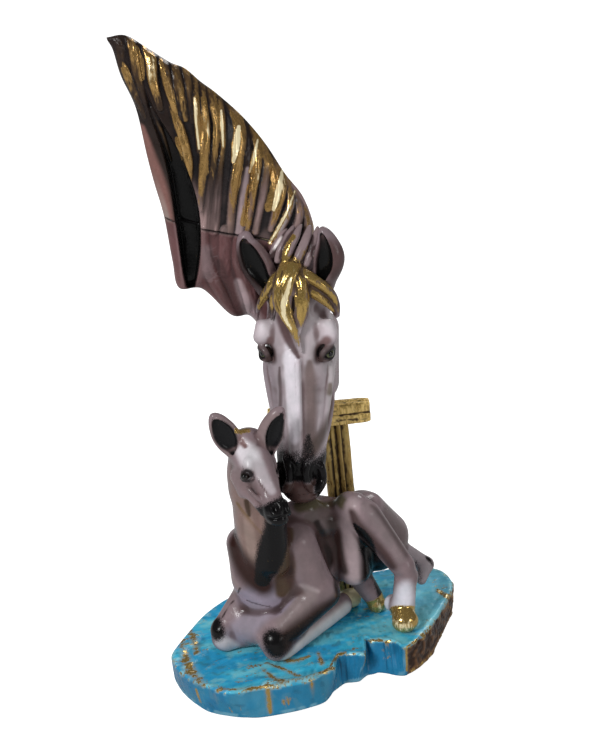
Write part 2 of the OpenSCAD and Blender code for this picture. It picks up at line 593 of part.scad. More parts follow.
module rail_body(grow) {
    translate(rail_at) for (end = [-1, 1]) {
        step = end * rail_len / 2;
        hull() {
            cube([overrun, rail_t + 2 * grow, rail_h + 2 * grow], center = true);
            translate([step - end * overrun / 2, 0, 0])
                cube([overrun + 2 * grow, rail_t * rail_end_share + 2 * grow,
                      rail_h * rail_end_share + 2 * grow], center = true);
        }
    }
}

module post_body(grow) {
    translate([post_x, post_y, (post_foot + post_top) / 2])
        cube([post_w + 2 * grow, post_t + 2 * grow, post_top - post_foot + 2 * grow], center = true);
}

module fence_rail() {
    color([0.66, 0.50, 0.16])
    difference() {
        rail_body(0);
        at_rail_pins() pin(short_pin_len, pin_gap);
    }
}

module fence_post() {
    color([0.40, 0.28, 0.12])
    difference() {
        post_body(0);
        rail_body(glue_t);
        for (share = bark_groove_shares) for (face = [-1, 1])
            translate([post_x + share * post_w, post_y + face * post_t / 2, post_foot - overrun])
                cylinder(r = bark_groove_share * post_w, h = post_top - post_foot + 2 * overrun, $fn = 6);
        at_post_pin() pin(short_pin_len, pin_gap);
        at_rail_pins() pin(short_pin_len, pin_gap);
    }
}

module foal_pins() {
    color([0.7, 0.7, 0.72]) at_foal_pins() pin(long_pin_len, 0);
}

module neck_pins() {
    color([0.7, 0.7, 0.72]) at_neck_pins() pin(long_pin_len, 0);
}

module post_pin() {
    color([0.7, 0.7, 0.72]) at_post_pin() pin(short_pin_len, 0);
}

module rail_pins() {
    color([0.7, 0.7, 0.72]) at_rail_pins() pin(short_pin_len, 0);
}

module muzzle_pin() {
    color([0.7, 0.7, 0.72]) at_muzzle_pin() pin(short_pin_len, 0);
}

base();
base_pad();
foal();
foal_eyes();
mare_head();
mare_eyes();
mare_mane();
fence_post();
fence_rail();
foal_pins();
neck_pins();
post_pin();
rail_pins();
muzzle_pin();
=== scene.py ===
# %% [markdown]
# # A painted mare and foal, built in Blender
# The object is a cast resin ornament: a mare's head and neck sweep up to a point behind a reclining
# foal. This file adds the looks to the imported CAD model, which fixes every place and size. Lengths in
# the tables are millimetres, or shares of a head's or a body's length, and every mesh is made in metres.

# %% Load the CAD model and keep its boxes
from types import SimpleNamespace

import bmesh
import bpy
import numpy as np
from mathutils import Matrix, Vector


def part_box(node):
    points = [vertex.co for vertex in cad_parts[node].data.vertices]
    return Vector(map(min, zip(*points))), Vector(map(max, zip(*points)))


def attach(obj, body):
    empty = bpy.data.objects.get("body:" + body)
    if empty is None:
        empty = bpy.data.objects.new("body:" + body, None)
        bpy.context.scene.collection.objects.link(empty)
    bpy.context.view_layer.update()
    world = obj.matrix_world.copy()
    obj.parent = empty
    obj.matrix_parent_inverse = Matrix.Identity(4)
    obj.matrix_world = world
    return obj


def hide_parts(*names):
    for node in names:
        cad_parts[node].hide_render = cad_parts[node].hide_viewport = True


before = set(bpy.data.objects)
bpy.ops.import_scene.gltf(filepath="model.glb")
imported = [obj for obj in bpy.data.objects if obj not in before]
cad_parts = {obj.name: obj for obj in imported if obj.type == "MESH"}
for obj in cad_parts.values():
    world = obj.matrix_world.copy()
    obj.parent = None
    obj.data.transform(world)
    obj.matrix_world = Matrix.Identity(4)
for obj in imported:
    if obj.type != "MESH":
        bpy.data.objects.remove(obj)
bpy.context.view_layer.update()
MM = 0.001
BASE_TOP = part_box("foal")[0][2] / MM
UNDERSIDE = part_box("base")[0][2] / MM

# %% [markdown]
# ## The camera
# The photograph looks down on the group from 22 degrees above the horizon, and the horizon is rolled by
# 6 degrees. A camera can be aimed with a Track To constraint, but a matrix of three crossed directions
# takes the roll as well, so that is what is written here.

# %% Place the camera
SENSOR = 36.0
PHOTO_HIGH = 740.0
FOCAL_PX = 1425.0
aim = np.array([6.0, 10.0, 170.0])
distance = 750.0
rise = np.radians(22.0)
roll = np.radians(6.0)
back = np.array([0.0, -np.cos(rise), np.sin(rise)])
level_up = np.array([0.0, np.sin(rise), np.cos(rise)])
level_right = np.array([1.0, 0.0, 0.0])
right = level_right * np.cos(roll) - level_up * np.sin(roll)
up = level_up * np.cos(roll) + level_right * np.sin(roll)
eye = (aim + distance * back) * MM
camera = bpy.data.objects.new("camera", bpy.data.cameras.new("camera"))
camera.data.sensor_width = SENSOR
camera.data.lens = FOCAL_PX * SENSOR / PHOTO_HIGH
camera.data.clip_start = 0.01
camera.matrix_world = Matrix([*np.column_stack([right, up, back, eye]), (0.0, 0.0, 0.0, 1.0)])
bpy.context.scene.collection.objects.link(camera)
bpy.context.scene.camera = camera
print("camera at", np.round(eye, 3), "lens", round(camera.data.lens, 2))

# %% [markdown]
# ## Tools: easing, noise and courses
# Paint and relief are both placed with three small tools. Easing turns a ramp into an S. Lattice noise
# gives a cloudy number for any point. A course is a smooth line through a few chosen points, and the
# distance to it says where a lock of hair, a vein or a stroke of paint runs.

# %% Easing and noise
def ease(x):
    """0 below zero, 1 above one, and 3x^2 - 2x^3 between."""
    x = np.clip(x, 0.0, 1.0)
    return x * x * (3.0 - 2.0 * x)


def corner_weights(f):
    """The eight corners of a unit cell, each with its share of a point at f inside it: the product of
    |1 - corner - f| over the three axes."""
    for corner in np.ndindex(2, 2, 2):
        share = np.abs(1 - np.array(corner) - f)
        yield corner, share[:, 0] * share[:, 1] * share[:, 2]


LATTICE_SIDE = 32
LATTICE = np.random.default_rng(11).random((LATTICE_SIDE, LATTICE_SIDE, LATTICE_SIDE))
SEED_STEP = 16.0


def cloud(points, size, seed=0.0):
    """Value noise from -1 to 1: random numbers on a lattice of that size, eased between its corners."""
    q = np.asarray(points, float) / size + SEED_STEP * seed
    cell = np.floor(q).astype(int)
    total = np.zeros(len(q))
    for corner, weight in corner_weights(ease(q - cell)):
        i, j, k = ((cell + corner) % LATTICE_SIDE).T
        total += weight * LATTICE[i, j, k]
    return 2.0 * total - 1.0


print("noise check", np.round(cloud(np.array([[0.0, 1.0, 2.0], [5.5, 3.2, 1.1]]), 3.0), 3))


# %% Courses and strokes
def smooth_course(rows, parts=6):
    """A Catmull-Rom curve through the rows: each stretch is a cubic whose slopes are half the step
    between the rows on either side. Columns after the place, such as widths, are carried along."""
    p = np.asarray(rows, float)
    if len(p) < 3:
        return p
    before = np.vstack([2 * p[0] - p[1], p[:-1]])
    after = np.vstack([p[1:], 2 * p[-1] - p[-2]])
    slope = (after - before) / 2.0
    t = np.linspace(0.0, 1.0, parts, endpoint=False)[None, :, None]
    a, b = p[:-1, None], p[1:, None]
    sa, sb = slope[:-1, None], slope[1:, None]
    curve = ((2 * t**3 - 3 * t**2 + 1) * a + (t**3 - 2 * t**2 + t) * sa
             + (3 * t**2 - 2 * t**3) * b + (t**3 - t**2) * sb)
    return np.vstack([curve.reshape(-1, p.shape[1]), p[-1]])


def to_course(points, course, dims=3):
    """Distance from each point to the nearest stretch of a course, the share of the course's length at
    that place, the course's other columns there, and on which side of it the point lies."""
    course = np.asarray(course, float)
    points = np.asarray(points, float)
    steps = np.linalg.norm(np.diff(course[:, :dims], axis=0), axis=1)
    along = np.concatenate([[0.0], np.cumsum(steps)])
    best = np.full(len(points), np.inf)
    where = np.zeros(len(points))
    side = np.zeros(len(points))
    extra = np.zeros((len(points), course.shape[1] - dims))
    for i in range(len(course) - 1):
        a, b = course[i, :dims], course[i + 1, :dims]
        ab = b - a
        t = np.clip((points - a) @ ab / max(ab @ ab, 1e-12), 0.0, 1.0)
        gap = points - a - t[:, None] * ab
        d = np.linalg.norm(gap, axis=1)
        near = d < best
        best[near] = d[near]
        where[near] = ((along[i] + t * steps[i]) / along[-1])[near]
        extra[near] = (course[i, dims:] + t[:, None] * (course[i + 1, dims:] - course[i, dims:]))[near]
        if dims == 2:
            side[near] = (ab[0] * gap[:, 1] - ab[1] * gap[:, 0])[near]
    return best, where, extra, np.sign(side)


def stroke(points, rows, soft=1.0):
    """How much of a brush stroke covers each point: the rows give places and half widths, and soft is how
    far its edge fades, as a share of the half width."""
    course = smooth_course(rows)
    d, _, width, _ = to_course(points, course, points.shape[1])
    half = np.maximum(width[:, 0], 1e-6)
    return ease((half - d) / (soft * half) + 0.5)


print("a course of 3 rows has", len(smooth_course(np.eye(3))), "places")

# %% [markdown]
# ## Clay: a field of distances and its skin
# The animals' limbs melt into each other, which no single grid of two parameters can give. A modeller
# could sculpt them, or join them with metaballs. Here a block of numbers holds the distance to the
# surface. Each tapered limb is one formula on the whole block, a soft minimum melts it into what is
# there, and surface nets put a skin of squares where the number is zero.

# %% Clay
class Clay:
    """A block of distances in millimetres on a grid, below zero inside the clay."""

    # What an empty block holds, short limbs for each stretch of a strand, and its least half width
    EMPTY = 9.0
    STRAND_PARTS = 5
    LEAST_HALF = 0.2
    # Steps that pull the skin onto the surface, and the longest one as a share of the grid's step
    NEWTON_STEPS = 2
    LONGEST_MOVE = 0.4
    LEAST_SLOPE = 0.25

    def __init__(self, low, high, step):
        self.low = np.asarray(low, float)
        self.step = step
        self.count = np.ceil((np.asarray(high) - self.low) / step).astype(int) + 1
        self.value = np.full(self.count, self.EMPTY, np.float32)
        self.axes = [self.low[i] + step * np.arange(self.count[i]) for i in range(3)]

    def window(self, low, high):
        """The part of the block inside a box, and the places of its grid points."""
        first = np.maximum(np.floor((low - self.low) / self.step).astype(int), 0)
        last = np.minimum(np.ceil((high - self.low) / self.step).astype(int) + 1, self.count)
        if np.any(first >= last):
            return None, None
        part = tuple(slice(a, b) for a, b in zip(first, last))
        grid = np.meshgrid(*[self.axes[i][part[i]] for i in range(3)], indexing="ij")
        return part, np.stack(grid, -1)

    def melt(self, part, d, soft, cut):
        """Soft minimum: min(a, b) less h^2 * soft / 4, where h is 1 where a equals b and falls to 0 when
        they differ by soft. A cut takes the soft maximum with the negated distance."""
        a = self.value[part]
        if cut:
            h = np.clip(soft - np.abs(a + d), 0, None) / soft
            self.value[part] = np.maximum(a, -d) + h * h * soft / 4
        else:
            h = np.clip(soft - np.abs(a - d), 0, None) / soft
            self.value[part] = np.minimum(a, d) - h * h * soft / 4

    def limb(self, a, b, size_a, size_b, soft=4.0, across=None, cut=False):
        """A tapered limb with an oval section. Distance is k(k-1)/|grad k|, where k is the length of the
        offset from the middle line measured in half widths and half depths."""
        a = np.asarray(a, float)
        b = np.asarray(b, float)
        along = b - a
        length = max(np.linalg.norm(along), 1e-6)
        along = along / length
        if across is None:
            upright = abs(along[2]) >= 0.9
            across = np.array([1.0, 0, 0]) if upright else np.cross(along, [0, 0, 1.0])
        side = across - along * (across @ along)
        side = side / np.linalg.norm(side)
        front = np.cross(along, side)
        margin = max(max(size_a), max(size_b)) + soft + 2 * self.step
        part, place = self.window(np.minimum(a, b) - margin, np.maximum(a, b) + margin)
        if part is None:
            return
        q = place - a
        t = np.clip(q @ along / length, 0, 1)
        wide = size_a[0] + (size_b[0] - size_a[0]) * t
        deep = size_a[1] + (size_b[1] - size_a[1]) * t
        small = np.minimum(wide, deep)
        x = (q @ side) / wide
        y = (q @ front) / deep
        z = (q @ along - t * length) / small
        k = np.sqrt(x * x + y * y + z * z)
        g = np.sqrt((x / wide) ** 2 + (y / deep) ** 2 + (z / small) ** 2)
        d = np.where(g > 1e-9, k * (k - 1) / np.maximum(g, 1e-9), -small)
        self.melt(part, d.astype(np.float32), soft, cut)

    def strand(self, rows, soft, across, cut=False):
        """A smooth course of short limbs: each row is a place with a half width and a half depth."""
        course = smooth_course(rows, self.STRAND_PARTS)
        course[:, 3:5] = np.maximum(course[:, 3:5], self.LEAST_HALF)
        for a, b in zip(course[:-1], course[1:]):
            self.limb(a[:3], b[:3], a[3:5], b[3:5], soft, across, cut)

    def read(self, points):
        """The block's number at any place, shared out between the eight grid points round it."""
        q = (points - self.low) / self.step
        cell = np.clip(np.floor(q).astype(int), 0, self.count - 2)
        total = np.zeros(len(q))
        for corner, weight in corner_weights(q - cell):
            i, j, k = (cell + corner).T
            total += weight * self.value[i, j, k]
        return total

    def slope(self, points):
        """How steeply the field rises along each axis, from differences half a step to either side."""
        h = self.step / 2
        parts = [self.read(points + h * d) - self.read(points - h * d) for d in np.eye(3)]
        return np.stack(parts, 1) / self.step

    def skin(self):
        """Surface nets: one point in every cell that the surface crosses, at the mean of its crossings,
        and one square for every grid edge that it crosses. Two Newton steps then pull the points onto
        the surface."""
        v = self.value
        n = np.array(v.shape)
        inside = v < 0
        total = np.zeros(n - 1, np.int8)
        corners = list(np.ndindex(2, 2, 2))
        for i, j, k in corners:
            total += inside[i:n[0] - 1 + i, j:n[1] - 1 + j, k:n[2] - 1 + k]
        active = (total > 0) & (total < 8)
        cells = np.argwhere(active)
        index = np.full(active.shape, -1, np.int64)
        index[active] = np.arange(len(cells))
        place = np.zeros((len(cells), 3))
        hits = np.zeros(len(cells))
        for a in corners:
            for b in corners:
                if sum(b) - sum(a) != 1 or any(y < x for x, y in zip(a, b)):
                    continue
                va = v[tuple((cells + a).T)]
                vb = v[tuple((cells + b).T)]
                cross = (va < 0) != (vb < 0)
                t = np.where(cross, va / np.where(cross, va - vb, 1), 0)
                spot = np.array(a) + t[:, None] * (np.array(b) - np.array(a))
                place += np.where(cross[:, None], spot, 0)
                hits += cross
        points = self.low + self.step * (cells + place / hits[:, None])
        faces = []
        for ax in range(3):
            others = [i for i in range(3) if i != ax]
            low_part = [slice(None)] * 3
            high_part = [slice(None)] * 3
            low_part[ax] = slice(0, n[ax] - 1)
            high_part[ax] = slice(1, n[ax])
            a, b = inside[tuple(low_part)], inside[tuple(high_part)]
            for outward, crossing in ((True, a & ~b), (False, ~a & b)):
                e = np.argwhere(crossing)
                for o in others:
                    e = e[(e[:, o] > 0) & (e[:, o] < n[o] - 1)]
                square = []
                for da, db in ((0, 0), (-1, 0), (-1, -1), (0, -1)):
                    c = e.copy()
                    c[:, others[0]] += da
                    c[:, others[1]] += db
                    square.append(index[tuple(c.T)])
                square = np.stack(square, 1)
                if outward == (ax == 1):
                    square = square[:, ::-1]
                faces.append(square)
        faces = np.vstack(faces)
        limit = self.LONGEST_MOVE * self.step
        for _ in range(self.NEWTON_STEPS):
            g = self.slope(points)
            size = np.maximum((g * g).sum(1), self.LEAST_SLOPE)
            move = -(self.read(points) / size)[:, None] * g
            points = points + np.clip(move, -limit, limit)
        return points, faces


print("empty clay holds", Clay.EMPTY, "mm")


# %% Frames of the heads
def head_frame(poll, down, front, length):
    """Directions of a head: down the face, out of its front, and to its side."""
    down = np.array(down) / np.linalg.norm(down)
    front = np.array(front) - down * (np.array(front) @ down)
    front = front / np.linalg.norm(front)
    side = np.cross(front, down)
    return {"poll": np.array(poll), "side": side, "down": down, "turn": np.stack([side, front, down]),
            "long": length}


def from_head(head, share):
    """A place given as shares of the head's length to its side, out of its front and down its face."""
    return head["poll"] + head["long"] * (np.atleast_2d(share) @ head["turn"])


def in_head(head, points):
    """The reverse: shares of the head's length for each point."""
    return (points - head["poll"]) @ head["turn"].T / head["long"]


def head_rows(head, rows):
    """Rows of side, front, down and widths in shares, as places and widths in millimetres."""
    r = np.asarray(rows, float)
    return np.hstack([from_head(head, r[:, :3]), r[:, 3:] * head["long"]])


def add_strands(clay, head, tables, soft, cut=False):
    """Melts strands onto the head, or cuts them away, each on both sides."""
    for rows in tables:
        for side in (1, -1):
            turned = np.asarray(rows, float) * (side, 1, 1, 1, 1)
            clay.strand(head_rows(head, turned), soft, head["side"], cut)


def add_forms(clay, head, forms, both=True, cut=False):
    """Melts rows of tapered limbs onto the clay, on both sides of the head where they have a side."""
    size = head["long"]
    for a, b, size_a, size_b, soft in forms:
        for side in ((1, -1) if both and (a[0] or b[0]) else (1,)):
            turned = np.array([side, 1, 1])
            clay.limb(from_head(head, turned * a)[0], from_head(head, turned * b)[0],
                      np.array(size_a) * size, np.array(size_b) * size, soft * size, head["side"], cut)


print("forms can be given in shares of a head")

# %% [markdown]
# ## Tools: meshes and their marks
# A mesh can be made with from_pydata, which is easy to read, or with foreach_set, which hands over whole
# arrays and is quick for a hundred thousand faces. Marks are numbers kept on the points, such as how
# much gold they carry. The materials read them, so the paint follows the modelling.

# %% Meshes and marks
def ring_faces(rows, columns, first=0):
    """Squares of a grid whose columns close into a ring, so the last column joins the first."""
    i, j = np.meshgrid(np.arange(rows - 1), np.arange(columns), indexing="ij")
    n = (j + 1) % columns
    a = first + i * columns + j
    b = first + i * columns + n
    return np.stack([a, b, b + columns, a + columns], -1).reshape(-1, 4)


def point_normals(points, faces):
    """Mean direction of the faces round each point, from the cross product of each face's diagonals."""
    f = np.asarray(faces)
    across = np.cross(points[f[:, 2]] - points[f[:, 0]], points[f[:, -1]] - points[f[:, 1]])
    normal = np.zeros_like(points)
    for c in range(f.shape[1]):
        for axis in range(3):
            normal[:, axis] += np.bincount(f[:, c], across[:, axis], len(points))
    return normal / np.maximum(np.linalg.norm(normal, axis=1, keepdims=True), 1e-9)


def proudness(points, faces, rounds):
    """How far each point stands out of its surroundings: the step along its normal from where rounds of
    averaging over neighbours would leave it. Ridges are above zero and grooves below."""
    f = np.asarray(faces)
    ends = np.vstack([f[:, [k, (k + 1) % f.shape[1]]] for k in range(f.shape[1])])
    count = np.maximum(np.bincount(ends[:, 0], minlength=len(points)), 1)
    p = points.copy()
    for _ in range(rounds):
        p = np.stack([np.bincount(ends[:, 0], p[ends[:, 1], axis], len(points)) / count
                      for axis in range(3)], 1)
    return ((points - p) * point_normals(points, faces)).sum(1)


def make_piece(name, points, faces, material, slot, nodes=(), caps=(), **marks):
    """A mesh object in metres from places in millimetres, riding on the one body."""
    faces = np.asarray(faces)
    sizes = [faces.shape[1]] * len(faces) + [len(cap) for cap in caps]
    corners = np.concatenate([faces.ravel()] + [np.asarray(cap) for cap in caps])
    mesh = bpy.data.meshes.new(name)
    mesh.vertices.add(len(points))
    mesh.vertices.foreach_set("co", (np.asarray(points) * MM).astype(np.float32).ravel())
    mesh.loops.add(len(corners))
    mesh.loops.foreach_set("vertex_index", corners.astype(np.int32))
    mesh.polygons.add(len(sizes))
    starts = np.concatenate([[0], np.cumsum(sizes)[:-1]])
    mesh.polygons.foreach_set("loop_start", starts.astype(np.int32))
    mesh.update(calc_edges=True)
    mesh.validate()
    for mark, value in marks.items():
        value = np.asarray(value, np.float32)
        if value.ndim == 2:
            value = np.hstack([value, np.ones((len(value), 1), np.float32)])
            mesh.attributes.new(mark, "FLOAT_COLOR", "POINT").data.foreach_set("color", value.ravel())
        else:
            mesh.attributes.new(mark, "FLOAT", "POINT").data.foreach_set("value", value)
    mesh.polygons.foreach_set("use_smooth", np.ones(len(sizes), bool))
    mesh.materials.append(material)
    piece = bpy.data.objects.new(name, mesh)
    bpy.context.scene.collection.objects.link(piece)
    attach(piece, "root")
    if nodes:
        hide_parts(*nodes)
    low, high = np.min(points, axis=0), np.max(points, axis=0)
    print(name, len(points), "points", "box", np.round(low, 1), np.round(high, 1))
    return piece


# %% [markdown]
# ## Paint
# The castings are airbrushed in mauve pearl, brown and black, then dry-brushed with gold, and all of it
# lies under a clear gloss coat. Each colour could be its own object, but one material that reads marks
# from the mesh keeps the paint on one skin. Spray and gold break up along their edges with noise, as
# real spray and dry brush do.

# %% Material tools
def new_material(name):
    """A material with nodes, and the small functions that add nodes to it."""
    material = bpy.data.materials.new(name)
    material.use_nodes = True
    tree = material.node_tree
    shader = tree.nodes["Principled BSDF"]

    def put(socket, value):
        """Links a socket to what feeds it, or sets its number."""
        if isinstance(value, bpy.types.NodeSocket):
            tree.links.new(value, socket)
        else:
            socket.default_value = value

    def add(kind, inputs=None, **settings):
        """A node with its settings and inputs."""
        made = tree.nodes.new(kind)
        for key, value in settings.items():
            setattr(made, key, value)
        for key, value in (inputs or {}).items():
            put(made.inputs[key], value)
        return made

    def math(a, b, operation="ADD"):
        """A Math node on two numbers or sockets."""
        return add("ShaderNodeMath", {0: a, 1: b}, operation=operation).outputs[0]

    def noise(size_mm, detail=3.0, stretch=(1.0, 1.0, 1.0)):
        """Noise of a size in millimetres on Object coordinates, drawn out along the axes."""
        place = add("ShaderNodeTexCoord").outputs["Object"]
        scaled = add("ShaderNodeMapping", {"Vector": place, "Scale": [s / size_mm / MM for s in stretch]})
        return add("ShaderNodeTexNoise", {"Vector": scaled.outputs[0], "Scale": 1.0, "Detail": detail,
                                          "Roughness": 0.55}).outputs[0]

    def band(value, low, high, bottom=0.0, top=1.0):
        """Eases a number from bottom at low to top at high."""
        return add("ShaderNodeMapRange", {"Value": value, "From Min": low, "From Max": high,
                                          "To Min": bottom, "To Max": top},
                   interpolation_type="SMOOTHSTEP").outputs[0]

    def blend(factor, a, b, kind="MIX"):
        """Mixes two colours."""
        made = add("ShaderNodeMix", {0: factor}, data_type="RGBA", blend_type=kind)
        for key, colour in ((6, a), (7, b)):
            put(made.inputs[key], (*colour, 1.0) if isinstance(colour, tuple) else colour)
        return made.outputs[2]

    def mark(name, colour=False):
        """Reads a mark kept on the mesh."""
        read = add("ShaderNodeAttribute", attribute_name=name)
        return read.outputs["Color" if colour else "Fac"]

    def finish(colour, rough, bump=None, bump_mm=0.1, **others):
        """Links the shader's inputs, or sets the ones that are the same all over."""
        put(shader.inputs["Base Color"], colour)
        put(shader.inputs["Roughness"], rough)
        if bump is not None:
            raised = add("ShaderNodeBump", {"Height": bump, "Strength": 1.0, "Distance": bump_mm * MM})
            put(shader.inputs["Normal"], raised.outputs[0])
        for key, value in others.items():
            put(shader.inputs[key.replace("_", " ")], value)

    return material, SimpleNamespace(add=add, math=math, noise=noise, band=band, blend=blend, mark=mark,
                                     finish=finish)


print("material tools ready")

# %% Painted resin
GOLD = (0.50, 0.335, 0.105)
PAINTED_GLINT_GOLD = (0.90, 0.78, 0.50)
SPRAY_BLACK = (0.006, 0.0055, 0.006)
SPRAY_EDGE = (0.22, 0.78)
GILT_EDGE = (0.30, 0.72)
PAINTED_GLINT_EDGE = (0.95, 1.30)


def painted_resin(name, gloss=0.22, bump_mm=0.10, gilding=GOLD):
    """Paint from the marks paint, spray and gold. The colour is clouded a little, spray is added where
    its mark plus speckle passes a half, and gold where its mark plus streaks does."""
    material, t = new_material(name)

    def broken(mark, noise, amount, edge):
        """A mark whose edge is broken up by an amount of noise."""
        ragged = t.math(t.math(noise, 0.5, "SUBTRACT"), amount, "MULTIPLY")
        return t.band(t.math(t.mark(mark), ragged), *edge)

    clouds = t.noise(9.0)
    streaks = t.noise(1.3, stretch=(1.0, 1.0, 0.22))
    plain = t.mark("paint", True)
    colour = t.blend(t.band(clouds, 0.3, 0.7), plain, t.blend(1.0, plain, (1.22, 1.18, 1.2), "MULTIPLY"))
    colour = t.blend(broken("spray", t.noise(0.55, 2.0), 1.0, SPRAY_EDGE), colour, SPRAY_BLACK)
    gilt = broken("gold", streaks, 1.5, GILT_EDGE)
    # Where the gold mark passes about one, the gold turns pale and less metallic: a painted highlight
    painted_glint = broken("gold", streaks, 1.2, PAINTED_GLINT_EDGE)
    colour = t.blend(gilt, colour, t.blend(painted_glint, gilding, PAINTED_GLINT_GOLD))
    rough = t.band(clouds, 0.3, 0.75, gloss - 0.05, gloss + 0.08)
    rough = t.math(rough, t.math(gilt, 0.06, "MULTIPLY"), "SUBTRACT")
    height = t.math(t.math(t.noise(1.4, 4.0), 1.2, "MULTIPLY"), t.math(gilt, 0.5, "MULTIPLY"))
    metal = t.math(gilt, t.band(painted_glint, 0.0, 1.0, 0.75, 0.20), "MULTIPLY")
    t.finish(colour, rough, height, bump_mm, Metallic=metal, Coat_Weight=0.08, Coat_Roughness=0.04,
             Specular_IOR_Level=0.16)
    return material


resin_mare = painted_resin("mare_paint")
resin_mane = painted_resin("mane_paint", gloss=0.26, bump_mm=0.16, gilding=(0.46, 0.275, 0.095))
resin_foal = painted_resin("foal_paint")
print("paints", [material.name for material in bpy.data.materials])


# %% Coats of paint
def ground_coat(colour, points):
    """One colour for every point."""
    return np.tile(np.array(colour), (len(points), 1))


def lay(paint, *coats):
    """Lays coats in turn, each a colour and an amount: every point's colour moves towards the coat's by
    that amount, from 0 to 1."""
    for colour, amount in coats:
        paint = paint + (np.asarray(colour) - paint) * np.clip(amount, 0, 1)[:, None]
    return paint


def airbrush(paint, points, table, zone=1.0):
    """Lays the strokes of a table: amount, colour, softness of the edge, then places and half widths."""
    for amount, colour, soft, rows in table:
        paint = lay(paint, (colour, amount * stroke(points, rows, soft) * zone))
    return paint


WINE = (0.060, 0.026, 0.024)
SOOT = (0.012, 0.010, 0.011)
print("wine", WINE, "soot", SOOT)

# %% [markdown]
# ## The mare's neck and mane
# The neck is a flat fin that fans from its pointed tip to the poll, with ropes of hair that start on the
# crest and run down it. It could be sculpted, but a relief is easier to steer: one parameter runs from
# tip to poll, the other from crest to cut edge and back round behind, and each lock adds its own round
# ridge to the depth. Where ridges meet, the higher one wins, so the locks seem to lie on each other.

# %% Locks of the mane
MARE_LONG = 133.0
mare = head_frame((9.61, 19.98, 231.49), (-0.07, -0.163, -0.984), (-0.2, -1.0, 0.0), MARE_LONG)
MANE_RISE = 119.0
NECK_HALF = 10.0

# Slices from tip to poll: crest and cut edge, across and up from the poll as shares of the mane's rise,
# and half thickness as a share of the neck's
neck_slices = np.array([
    (-.669, 1, -.666, .985, .1), (-.592, 1, -.651, .945, .25), (-.504, .935, -.634, .84, .42),
    (-.426, .872, -.592, .702, .51), (-.372, .84, -.574, .504, .62), (-.315, .775, -.559, .378, .72),
    (-.256, .715, -.538, .235, .81), (-.158, .598, -.528, .034, .9), (-.074, .47, -.516, -.092, .96),
    (-.006, .335, -.416, -.113, 1), (.06, .228, -.307, -.26, 1), (.094, .1, -.231, -.281, 1),
    (.088, 0, -.185, -.35, 1)])

